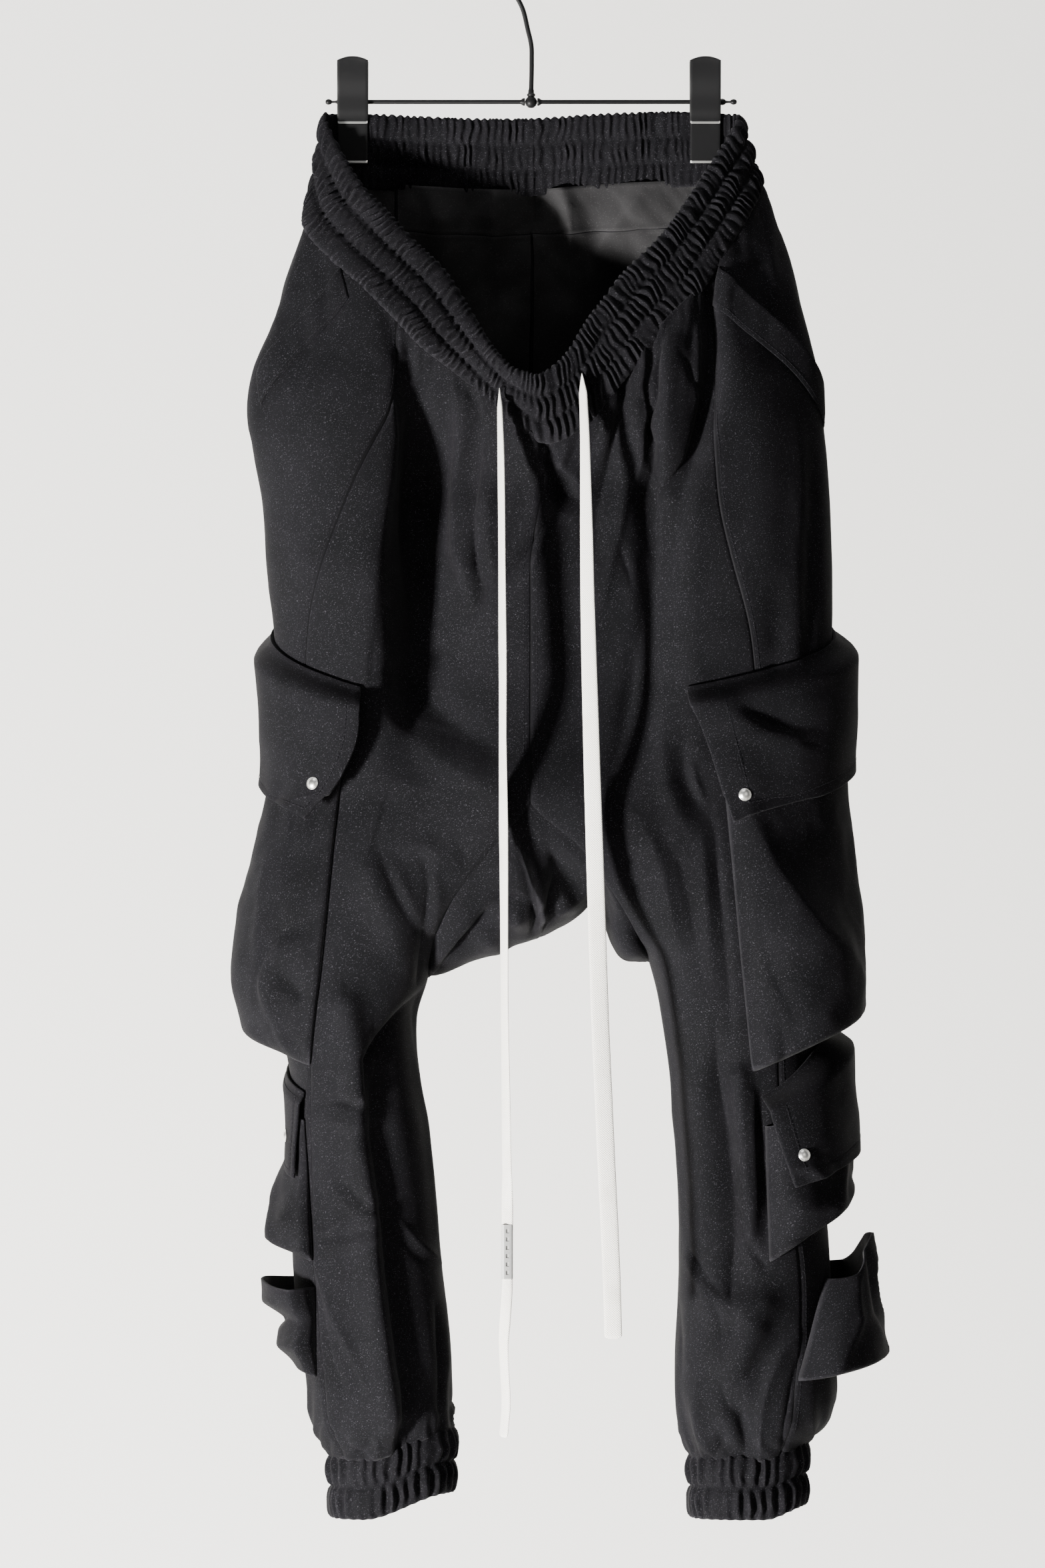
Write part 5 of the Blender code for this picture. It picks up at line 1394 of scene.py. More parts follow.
    def read(self, level: Array, column: Array, lift: Array = 0.0) -> tuple:
        """Read the finished surface.

        Args:
            level: 0 at the band, 1 at the fork and 2 at the cuff.
            column: 0 to 3 from the front edge to the back edge.
            lift: distances from the cloth's middle.

        Returns:
            The places and the outward directions.
        """
        row = np.interp(level, self.levels, np.arange(len(self.levels)))
        mark = np.interp(column, self.columns, np.arange(len(self.columns)))
        normal = unit(bilinear(self.normals, row, mark))
        lift = np.asarray(lift, float) * np.ones(normal.shape[:-1])
        return bilinear(self.places, row, mark) + normal * lift[..., None], normal


@dataclass
class Body:
    """Leg panels, back yoke and gusset."""

    finish: Wardrobe
    halves: dict = field(init=False)
    wall: float = CLOTH
    slit: float = 0.04

    def __post_init__(self) -> None:
        """Make both halves and let them meet at the centre."""
        self.halves = {side: Half(side) for side in Side}
        self.join_centre()

    def join_centre(self, reach: float = 14.0) -> None:
        """Move both halves' centre borders to their common line.

        Args:
            reach: width over which the move fades out.
        """
        left, right = self.halves[Side.LEFT], self.halves[Side.RIGHT]
        rows = slice(0, left.fork_row + 1)
        for border in (0, -1):
            middle = (left.places[rows, border] + right.places[rows, border]) / 2
            for half in (left, right):
                run = along_rows(half.places)[rows]
                away = run if border == 0 else run[:, -1:] - run
                shift = (middle - half.places[rows, border])[:, None]
                half.places[rows] += smooth(1.0 - away / reach)[..., None] * shift
        for half in (left, right):
            half.normals = half.outward(half.places, half.normals)

    def build(self) -> list:
        """Make the panels.

        Returns:
            The new pieces.
        """
        pieces = []
        for side, half in self.halves.items():
            for part, (first, last) in half.cuts.items():
                rows = slice(YOKE_ROWS - 1, None) if part == "back" else slice(None)
                places = self.short_of_seam(half.places[rows, first:last + 1])
                facing = half.normals[rows, first:last + 1].mean(axis=(0, 1))
                pieces.append(self.panel(part + "_" + side.value, places, facing))
        pieces.append(self.yoke())
        pieces.append(self.gusset())
        return pieces

    def short_of_seam(self, places: Array) -> Array:
        """Draw both borders in by the slit, so that no two panels share their edge."""
        places = places.copy()
        for edge, near in ((0, 1), (-1, -2)):
            places[:, edge] += unit(places[:, near] - places[:, edge]) * self.slit
        return places

    @staticmethod
    def paint_seam_shade(mesh: Mesh, columns: int, all_round: bool) -> None:
        """Paint shade along the seams: give the outermost faces there the dark finish of the
        thread.

        Args:
            mesh: a grid of quads.
            columns: places in a row of it.
            all_round: whether its first and last rows are seams as well.
        """
        corners = np.array([tuple(face.vertices) for face in mesh.polygons])
        spot, row = corners % columns, corners // columns
        edge = (spot.min(axis=1) == 0) | (spot.max(axis=1) == columns - 1)
        if all_round:
            edge |= (row.min(axis=1) == 0) | (row.max(axis=1) == row.max())
        # painted shade: the faces along the seams take the thread's black finish
        mesh.polygons.foreach_set("material_index", (edge * 2).astype(np.int32))

    def panel(self, name: str, places: Array, facing: Array) -> Piece:
        """One cloth panel that stands for its CAD node.

        Args:
            name: the node's name.
            places: its grid.
            facing: the way it faces.

        Returns:
            The piece.
        """
        # the cut edges and the faces along the seams take the thread's black finish as painted
        # shade in the seams
        obj = cloth_piece(name, places, facing, self.finish.jersey, self.wall,
                          lining=self.finish.lining, rim=self.finish.thread)
        self.paint_seam_shade(obj.data, places.shape[1], name == "gusset")
        return obj

    def yoke(self) -> Piece:
        """The strip under the back of the waistband."""
        first, last = self.halves[Side.LEFT].cuts["back"]
        left, right = (self.halves[side].places[:YOKE_ROWS, first:last + 1] for side in Side)
        places = np.concatenate((left, right[:, -2::-1]), axis=1)
        return self.panel("back_yoke", places, np.array((0.0, 1.0, 0.0)))

    def gusset_places(self, s: Array, t: Array) -> Array:
        """Blend of the gusset's four seams, sagging in the middle.

        Args:
            s: shares of the way from the left leg's front seam to the right leg's back seam.
            t: shares of the way from the right leg's front seam to the left leg's back seam.

        Returns:
            The places.
        """
        left, right = self.halves[Side.LEFT], self.halves[Side.RIGHT]
        rows = slice(left.fork_row, left.corner_row + 1)
        marks = np.linspace(0.0, 1.0, GUSSET_ROWS)
        front_left, front_right, back_left, back_right = (
            on_line(share, marks, half.places[rows, border])
            for share, half, border in ((t, left, 0), (s, right, 0), (1.0 - s, left, -1),
                                        (1.0 - t, right, -1)))
        front_tip, left_tip, right_tip, back_tip = (
            half.places[row, border]
            for half, row, border in ((left, left.fork_row, 0), (left, left.corner_row, 0),
                                      (right, left.corner_row, 0), (right, left.fork_row, -1)))
        s, t = s[..., None], t[..., None]
        corners = (front_tip * (1 - s) * (1 - t) + left_tip * (1 - s) * t
                   + right_tip * s * (1 - t) + back_tip * s * t)
        places = (front_left * (1 - s) + back_right * s + front_right * (1 - t)
                  + back_left * t - corners)
        across, forth = (s - t)[..., 0], (s + t - 1)[..., 0]
        reach = np.maximum(1.0 - np.abs(across), 1e-6)
        middle = np.clip(1.0 - (forth / reach) ** 2, 0.0, 1.0)
        places[..., 2] -= read_table(SAG, across)[..., 0] * middle
        normals = grid_normals(places)
        normals *= np.sign(-normals[..., 2].mean())
        x, drop = places[..., 0], -places[..., 2]
        front = smooth((0.3 * reach - forth) / (0.35 * reach))
        rise = crease_rise(GUSSET_CREASES, x, drop, 0.2) * front
        rise += 0.7 * crease_rise(GUSSET_CREASES, 6.0 - x, drop) * (1.0 - front)
        rise += uneven(places, (1.8, 34.0, 5.0), (0.5, 12.0, 9.0))
        return places + normals * (rise * smooth(middle * 2.2))[..., None]

    def gusset(self) -> Piece:
        """The diamond between the legs."""
        marks = Half.with_borders(92)
        s, t = np.meshgrid(marks, marks)
        return self.panel("gusset", self.gusset_places(s, t), np.array((0.0, 0.0, -1.0)))


# ------------------------------------------------------------------ gathered bands
@dataclass
class GatheredBand:
    """A band drawn in by rows of elastic.

    Rise is the height of its ridges and bulge that of the channels between the elastic; drift
    and slant are how far the ridges wander from row to row and lean within one, in ridges.
    """

    finish: Wardrobe
    node: str
    channels: int
    ridges: int
    rise: float
    bulge: float
    fine: int = 8
    rows: int = 10
    drift: float = 0.9
    slant: float = 0.5
    wall: float = 1.5

    def outline(self, mark: Array) -> tuple:
        """Upper and lower edges at marks from 0 to 1 round the band."""
        raise NotImplementedError

    def calm(self, top: Array) -> Array:
        """Share of the gathers left at places on the upper edge."""
        return np.ones(top.shape[:-1])

    def even_marks(self, count: int) -> Array:
        """Marks that are evenly spaced along the middle of the band."""
        dense = np.linspace(0.0, 1.0, 2401)
        run = along_rows((sum(self.outline(dense)) / 2)[None])[0]
        return np.interp(np.arange(count) / count * run[-1], run, dense)

    def relief(self, across: Array, height: Array, seed: float) -> Array:
        """Stand-out of one face.

        Args:
            across: ridge numbers.
            height: shares of the band's height.
            seed: a number that makes this face's gathers its own.

        Returns:
            How far the cloth stands out.
        """
        row = np.floor(np.clip(height, 0.0, 0.999) * self.channels)

        def wander(length: float, level: Array, third: Array) -> Array:
            """Noise that changes over a number of ridges."""
            return lumps(np.stack((across / length, level + seed, third), axis=-1), 1.0)

        chamber = np.abs(np.sin(pi * self.channels * height))
        drift = wander(3.1, row * 3.1, 0.0 * row)
        lean = wander(2.6, height * 5.0, 0.0 * row)
        size = np.maximum(0.72 + 1.3 * wander(1.5, row * 5.3, 2.0 * height), 0.1)
        wander_by = self.drift * drift + self.slant * lean + 0.21 * row
        wave = np.sin(2.0 * pi * (across + wander_by))
        # crests are round and the valleys between them narrow
        wave = np.where(wave > 0, np.abs(wave) ** 0.8, -np.abs(wave) ** 1.3)
        return (self.bulge * chamber ** 0.55
                + self.rise * wave * size * (0.28 + 0.72 * chamber ** 0.5))

    def places(self) -> Array:
        """Lay both faces of the band.

        Returns:
            Rows across the outer and then the inner face, at each column.
        """
        count = self.ridges * self.fine
        top, low = self.outline(self.even_marks(count))
        middle = (top + low) / 2
        along = np.roll(middle, -3, axis=0) - np.roll(middle, 3, axis=0)
        outward = unit(np.cross(low - top, along))
        calm = self.calm(top)
        outer = np.linspace(0.0, 1.0, self.channels * self.rows + 1)
        faces = []
        for shares, sign, seed, left in ((outer, 1.0, 0.0, calm),
                                         (outer[::-1], -1.0, 40.0, 0.2 + 0.4 * calm)):
            height, across = np.meshgrid(shares, np.arange(count) / self.fine, indexing="ij")
            stand = self.wall / 2 + self.relief(across, height, seed) * left
            drift = lumps(np.stack((across / 3.1, 0.0 * across + seed), axis=-1), 1.0)
            wave = 0.8 * np.sin(2.0 * pi * (across + 0.8 * drift)) * calm
            edge = np.where(height < 0.02, wave, np.where(height > 0.98, -0.3 * wave, 0.0))
            place = mix(top, low, height[..., None]) + outward * (sign * stand)[..., None]
            faces.append(place + unit(top - low) * edge[..., None])
        return np.concatenate(faces, axis=0)

    def build(self) -> Piece:
        """Make the band.

        Returns:
            The piece.
        """
        name = "cloth_" + self.node
        places = self.places()
        mesh = grid_mesh(name, places, wrap_across=True, wrap_down=True)
        obj = link(name, mesh, self.finish.rib, [self.node])
        return obj


@dataclass
class Waistband(GatheredBand):
    """The three-channel waistband, pressed flat under the clips."""

    clip_half: float = 10.5

    def outline(self, mark: Array) -> tuple:
        """Edges from the table of stations."""
        return band_edges(mark * len(BAND_STATIONS))

    def calm(self, top: Array) -> Array:
        """Gathers are pressed where a clip bites."""
        nearest = np.min([np.abs(top[:, 0] - x) for x in CLIP_X.values()], axis=0)
        return np.where(top[:, 1] < -10.0, 1.0,
                        mix(0.12, 1.0, smooth((nearest - self.clip_half) / 9.0)))


@dataclass
class Cuff(GatheredBand):
    """A gathered cuff with two rows of elastic."""

    half: Optional[Half] = None
    height: float = 45.0
    overlap: float = 3.0
    flare: float = 0.99

    def outline(self, mark: Array) -> tuple:
        """Edges round the end of the leg."""
        plan = self.half.plan(np.array(CUFF_DROP))
        turn = 2.0 * pi * mark
        x = plan.half * signed_power(np.cos(turn), SIDE_POWER)
        y = plan.depth * signed_power(np.sin(turn), SIDE_POWER)
        return tuple(
            self.half.tilt(np.stack((plan.centre + x * flare, y * flare,
                                     self.overlap - CUFF_DROP - height + 0.0 * x), axis=-1))
            for flare, height in ((1.0, 0.0), (self.flare, self.height)))


# ------------------------------------------------------------------ pockets
@dataclass(kw_only=True)
class SewnOn:
    """A cloth piece sewn to the side of the leg.

    Its front edge runs between two places (x and drop), its back edge between two drops, at
    an angle round the leg's far side.
    """

    name: str
    half: Half
    front: tuple
    back: tuple
    wrap: float
    creases: tuple = ()
    peak: float = 0.0
    bow: float = 0.0

    def at(self, across: Array, down: Array, lift: Array) -> tuple:
        """Places and directions over the footprint.

        Args:
            across: shares of the way from the front edge to the back edge.
            down: shares of the way down.
            lift: distances from the leg.

        Returns:
            The places and their outward directions.
        """
        (x_top, drop_top), (x_low, drop_low) = self.front
        x_front = mix(x_top, x_low, down) + self.bow * np.sin(pi * down)
        drop_front, drop_back = mix(drop_top, drop_low, down), mix(*self.back, down)
        angle = mix(self.half.angle_at(drop_front, x_front), -self.wrap, across)
        drop = mix(drop_front, drop_back, across)
        drop = drop - self.peak * np.sin(pi * across) ** 2 * (1.0 - down)
        return self.half.dressed(drop, angle, lift)

    def creased(self, across: Array, down: Array) -> Array:
        """Rise of the piece's own creases, whose places are in hundredths."""
        return crease_rise(self.creases, across * 100.0, down * 100.0)


@dataclass(kw_only=True)
class Bag(SewnOn):
    """A bellows bag.

    Inset is how wide its front wall is and deep how far it stands out, at the mouth and at the
    bottom.  The front wall has front_share of the depth, which swells to the whole over a
    share of the width; spread is how late that wall widens downwards.  The back and low walls
    and the gap under the mouth, where it isn't yet deep, are shares of the bag.
    """

    inset: tuple
    deep: tuple
    front_share: float
    swell: float = 0.45
    spread: float = 1.0
    back_wall: float = 0.05
    low_wall: float = 0.07
    mouth_gap: float = 0.2
    sewn: float = 1.5
    lift: float = 3.4
    across: int = 64
    down: int = 64

    def width(self) -> float:
        """Rough width over the mouth."""
        ends, _ = self.at(np.array((0.0, 1.0)), np.zeros(2), np.zeros(2))
        return max(float(np.linalg.norm(ends[1] - ends[0])), 60.0) * 1.15

    def stand(self, across: Array, down: Array) -> Array:
        """How far the bag's cloth stands off the leg.

        Args:
            across: shares of the way from the front edge to the back edge.
            down: shares of the way down.

        Returns:
            The distances.
        """
        inset = mix(*self.inset, down ** self.spread) / self.width()
        depth = mix(*self.deep, smooth((down - self.mouth_gap) / 0.75))
        ridge = mix(self.front_share, 1.0, smooth(across / self.swell))
        front_wall = np.clip(across / inset, 0.0, 1.0) ** 0.8
        back_wall = np.clip((1.0 - across) / self.back_wall, 0.0, 1.0)
        low_wall = np.clip((1.0 - down) / self.low_wall, 0.0, 1.0)
        wall = np.sin(np.minimum(np.minimum(front_wall, back_wall), low_wall) * pi / 2) ** 0.9
        return (mix(self.sewn, self.lift + depth * ridge, wall)
                + wall * self.creased(across, down))

    def grid(self) -> tuple:
        """Places and directions of the bag's cloth."""
        marks = np.concatenate((np.linspace(0.0, 0.08, 9)[:-1],
                                np.linspace(0.08, 0.95, self.across - 14),
                                np.linspace(0.95, 1.0, 7)[1:]))
        rows = np.concatenate((np.linspace(0.0, 0.93, self.down - 8),
                               np.linspace(0.93, 1.0, 9)[1:]))
        across, down = np.meshgrid(marks, rows)
        places, normals = self.at(across, down, self.stand(across, down))
        inner = window(across, 0.0, 0.12, 1.0, 0.08) * smooth((1 - down) / 0.1)
        soft = uneven(places, (1.6, 30.0, 31.0), (0.5, 12.0, 37.0))
        return places + normals * (soft * inner)[..., None], normals

    def build(self, finish: Wardrobe, thread: Thread) -> Piece:
        """Make the bag and stitch its front edge.

        Args:
            finish: the finishes.
            thread: the stitches that it adds to.

        Returns:
            The piece.
        """
        places, normals = self.grid()
        obj = cloth_piece(self.name, places, normals.mean(axis=(0, 1)), finish.jersey, CLOTH,
                          lining=finish.lining)
        marks = np.linspace(0.0, 0.985, 60)
        edge, normals = self.at(0.0 * marks + 0.002, marks, self.stand(0.0 * marks, marks))
        thread.add(edge, normals, 0.7)
        return obj


@dataclass(kw_only=True)
class Flap(SewnOn):
    """A pocket flap, sewn down along its top and shut by a snap.

    Stand is how far it stands off below its top, corner how much further its front corner
    does, and snap the shares across and down of its cap.
    """

    stand: float
    corner: float
    snap: tuple
    sewn: float = 2.4
    lift: float = 3.4
    wall: float = 2.6
    hem: float = 10.0
    top_row: float = 5.0
    groove: float = 1.2
    across: int = 60
    down: int = 44

    def surface(self, across: Array, down: Array) -> tuple:
        """Places and directions on the flap's middle."""
        rise = smooth(down / 0.15)
        corner = self.corner * (1.0 - smooth(across / 0.5)) * down
        lift = mix(self.sewn, self.lift + self.stand, rise) + corner
        return self.at(across, down, lift + rise * self.creased(across, down))

    def size(self) -> tuple:
        """Rough width and height."""
        place, _ = self.surface(np.array((0.0, 1.0, 0.5, 0.5)), np.array((0.5, 0.5, 0.0, 1.0)))
        return (float(np.linalg.norm(place[1] - place[0])),
                float(np.linalg.norm(place[3] - place[2])))

    def build(self, finish: Wardrobe, thread: Thread) -> Piece:
        """Make the flap and stitch its hem, its front edge and its top.

        Args:
            finish: the finishes.
            thread: the stitches that it adds to.

        Returns:
            The piece.
        """
        across, down = np.meshgrid(np.linspace(0, 1, self.across), np.linspace(0, 1, self.down))
        places, normals = self.surface(across, down)
        width, height = self.size()
        inset, low, top = self.hem / width, 1.0 - self.hem / height, self.top_row / height
        groove = sum(np.exp(-((at - line) / (self.groove / over)) ** 2)
                     for at, line, over in ((down, low, height), (down, top, height),
                                            (across, inset, width)))
        soft = uneven(places, (0.8, 30.0, 51.0)) * smooth(down / 0.3)
        places = places + normals * (soft - 0.5 * np.clip(groove, 0, 1))[..., None]
        obj = cloth_piece(self.name, places, normals.mean(axis=(0, 1)), finish.jersey, self.wall,
                          round_edge=0.9)
        marks = np.linspace(0.0, 1.0, 60)
        for across, down in ((mix(inset, 0.99, marks), 0.0 * marks + low),
                             (mix(0.02, 0.99, marks), 0.0 * marks + top),
                             (0.0 * marks + inset, mix(0.08, low, marks))):
            thread.add(*self.surface(across, down), self.wall / 2 + 0.1)
        return obj

    def snap_place(self) -> tuple:
        """Middle of the flap under its snap cap, and the way that it faces."""
        across, down = (np.array([[share]]) for share in self.snap)
        right, left, low, high = (
            self.surface(across + step, down + fall)[0]
            for step, fall in ((0.06, 0.0), (-0.06, 0.0), (0.0, 0.1), (0.0, -0.1)))
        normal = unit(np.cross(right - left, low - high))[0, 0]
        place, outside = self.surface(across, down)
        return place[0, 0], normal if normal @ outside[0, 0] > 0 else -normal


@dataclass
class HandPocket:
    """The hemmed mouth of a slanted hand pocket, from one column and level to another."""

    name: str
    half: Half
    start: tuple
    end: tuple
    sewn: float = 1.0
    gape: float = 4.6
    width: float = 0.056
    drop: float = 0.04

    def build(self, finish: Wardrobe, thread: Thread) -> Piece:
        """Make the facing and stitch it.

        Args:
            finish: the finishes.
            thread: the stitches that it adds to.

        Returns:
            The piece.
        """
        inward, share = np.meshgrid(np.linspace(0, 1, 9), np.linspace(0, 1, 60))
        column = mix(self.start[0], self.end[0], share) - self.width * inward
        level = mix(self.start[1], self.end[1], share) + self.drop * inward
        lift = self.sewn + (1.0 - inward) * self.gape * np.sin(pi * share) ** 0.7
        places, normals = self.half.read(level, column, lift)
        obj = cloth_piece(self.name, places, normals.mean(axis=(0, 1)), finish.jersey, 2.2,
                          round_edge=0.7)
        thread.add(places[:, 7], normals[:, 7], 1.2)
        return obj


# ------------------------------------------------------------------ turned and swept
def turned(name: str, profile: Sequence[tuple], place: Sequence[float],
           axis: Sequence[float], sides: int = 40) -> Mesh:
    """Turn a profile round an axis.

    Args:
        name: mesh name.
        profile: (height, radius) pairs in millimetres; a radius of 0 closes an end.
        place: where height 0 lies.
        axis: the way that heights run.
        sides: steps of the spin.

    Returns:
        The mesh, in place.
    """
    bm = bmesh.new()
    chain = [bm.verts.new((radius * MM, 0.0, height * MM)) for height, radius in profile]
    edges = [bm.edges.new(pair) for pair in zip(chain, chain[1:])]
    bmesh.ops.spin(bm, geom=chain + edges, cent=(0, 0, 0), axis=(0, 0, 1), angle=2 * pi,
                   steps=sides, use_merge=True, use_duplicate=False)
    bmesh.ops.remove_doubles(bm, verts=bm.verts, dist=1e-6)
    bmesh.ops.transform(bm, verts=bm.verts, matrix=pointing(place, axis))
    return from_bmesh(name, bm, 40.0)


def circle(radius: float, sides: int) -> Array:
    """Places round a circle, as sideways and outward offsets."""
    angle = np.linspace(0, 2 * pi, sides, endpoint=False)
    return radius * np.stack((np.cos(angle), np.sin(angle)), axis=-1)


def smooth_route(points: Array, step: float) -> Array:
    """Evenly spaced places on a smooth curve through points."""
    rows = np.column_stack((np.arange(len(points)), points))
    dense = read_table(rows, np.linspace(0, len(points) - 1, len(points) * 24))
    run = along_rows(dense[None])[0]
    return on_line(np.linspace(0.0, run[-1], max(round(run[-1] / step), 2) + 1), run, dense)


def swept(name: str, route: Array, ring: Array, face: Array) -> Mesh:
    """Carry a ring along a route and close the ends.

    Args:
        name: mesh name.
        route: middle places.
        ring: (sideways, outward) offsets, one set or a set for each place on the route.
        face: the outward direction for each place.

    Returns:
        The mesh.
    """
    along = unit(np.gradient(route, axis=0))
    outward = unit(face - (face * along).sum(-1, keepdims=True) * along)
    sideways = np.cross(along, outward)
    places = (route[:, None] + ring[..., :1] * sideways[:, None]
              + ring[..., 1:] * outward[:, None])
    bm = bmesh.new()
    bm.from_mesh(grid_mesh(name, places, wrap_across=True))
    bmesh.ops.holes_fill(bm, edges=[edge for edge in bm.edges if edge.is_boundary], sides=0)
    return from_bmesh(name, bm, 50.0)


@dataclass
class Drawcord:
    """A free end of the flat drawcord.

    Widths and turns are spread evenly along it: how wide it is, and the degrees that its face
    turns from the front.  Taper and tip are the lengths over which its upper end narrows to
    the eyelet and its lower end rounds off.
    """

    name: str
    node: str
    route: Array
    widths: tuple
    turns: tuple
    thick: float = 2.3
    width: float = 12.4
    sides: int = 20
    step: float = 1.1
    taper: float = 14.0
    tip: float = 2.2
    plait: float = 0.09

    def build(self, finish: Wardrobe, with_pieces: Sequence[Piece] = ()
              ) -> Piece:
        """Make the cord.

        Args:
            finish: the finishes.
            with_pieces: pieces that are fixed on it; not used.

        Returns:
            The piece.
        """
        route = smooth_route(self.route, self.step)
        share = np.linspace(0.0, 1.0, len(route))
        half, turn = (np.interp(share, np.linspace(0.0, 1.0, len(values)), values)
                      for values in (np.array(self.widths) / 2.0, np.radians(self.turns)))
        face = np.stack((np.sin(turn), -np.cos(turn), 0.0 * turn), axis=-1)
        run = share * along_rows(route[None])[0, -1]
        tip = np.clip((run[-1] - run) / self.tip, 0.0, 1.0) ** 0.4
        top = np.clip((run + 0.3) / self.taper, 0.0, 1.0) ** 0.8
        cosine, sine = circle(1.0, self.sides).T
        side, out = signed_power(cosine, 0.75), signed_power(sine, 0.85)
        plait = 1.0 + self.plait * np.sin(run[:, None] * 2.6 + np.abs(side)[None] * 4.0)
        thick = self.thick / 2 * tip * top
        wide = half * (0.55 + 0.45 * tip) * top
        ring = np.stack((wide[:, None] * side, thick[:, None] * out * plait), axis=-1)
        obj = link(self.name, swept(self.name, route, ring, face), finish.braid,
                   [self.node])
        path = [tuple(point) for point in to_metres(smooth_route(self.route, 8.0))]
        return obj


@dataclass
class Crimp:
    """The folded metal end clamp on the longer cord end: a sleeve with pressed slots."""

    place: tuple
    start: float = 792.0
    end: float = 830.0
    width: float = 7.8
    depth: float = 5.4
    corner: float = 1.3
    slots: int = 6
    slot_half: float = 1.1
    rim: float = 0.35
    pressed: float = 0.9

    def build(self, finish: Wardrobe) -> Piece:
        """Make the clamp.

        Args:
            finish: the finishes.

        Returns:
            The piece.
        """
        bm = bmesh.new()
        bmesh.ops.create_cube(bm, size=1.0)
        length = (self.end - self.start) * MM
        bmesh.ops.scale(bm, verts=bm.verts, vec=(self.width * MM, self.depth * MM, length))
        upright = [e for e in bm.edges if abs((e.verts[0].co - e.verts[1].co).z) > length / 2]
        bmesh.ops.bevel(bm, geom=upright, offset=self.corner * MM, segments=4, profile=0.5,
                        affect="EDGES", material=-1)
        fields = self.slots * 2 + 1
        step = length / fields
        cuts = [((0, 0, (k / fields - 0.5) * length), (0, 0, 1)) for k in range(1, fields)]
        cuts += [((x * MM, 0, 0), (1, 0, 0)) for x in (-self.slot_half, self.slot_half)]
        for place, normal in cuts:
            bmesh.ops.bisect_plane(bm, geom=bm.verts[:] + bm.edges[:] + bm.faces[:],
                                   plane_co=place, plane_no=normal)
        slots = []
        for face in bm.faces:
            middle = face.calc_center_median()
            if (face.normal.y < -0.9 and abs(middle.x) < self.slot_half * MM
                    and round((middle.z + length / 2) / step - 0.5) % 2):
                slots.append(face)
        bmesh.ops.inset_individual(bm, faces=slots, thickness=self.rim * MM, depth=0.0)
        deep = {vert for face in slots for vert in face.verts}
        bmesh.ops.translate(bm, verts=list(deep), vec=(0, self.pressed * MM, 0))
        middle = to_metres((*self.place, -(self.start + self.end) / 2))
        bmesh.ops.translate(bm, verts=bm.verts, vec=Vector(middle))
        return link("crimp", from_bmesh("crimp", bm, 35.0), finish.tin,
                    ["cord_clamp"])


@dataclass
class Snap:
    """A domed snap cap on the middle of a flap."""

    node: str
    place: Array
    facing: Array
    radius: float = 4.5
    lift: float = 1.5

    def build(self, finish: Wardrobe) -> Piece:
        """Turn the cap and set it on its flap.

        Args:
            finish: the finishes.

        Returns:
            The piece.
        """
        r = self.radius
        profile = ((-0.4, 0.0), (-0.4, r - 0.3), (0.0, r), (0.4, r), (0.75, r - 0.35),
                   (0.7, r - 0.8), (0.85, r - 1.0), (1.5, r - 1.6), (1.95, r - 2.6),
                   (2.15, r - 3.8), (2.2, 0.0))
        name = "cap_" + self.node
        mesh = turned(name, profile, self.place + self.facing * self.lift, self.facing, 36)
        return link(name, mesh, finish.silver, [self.node])


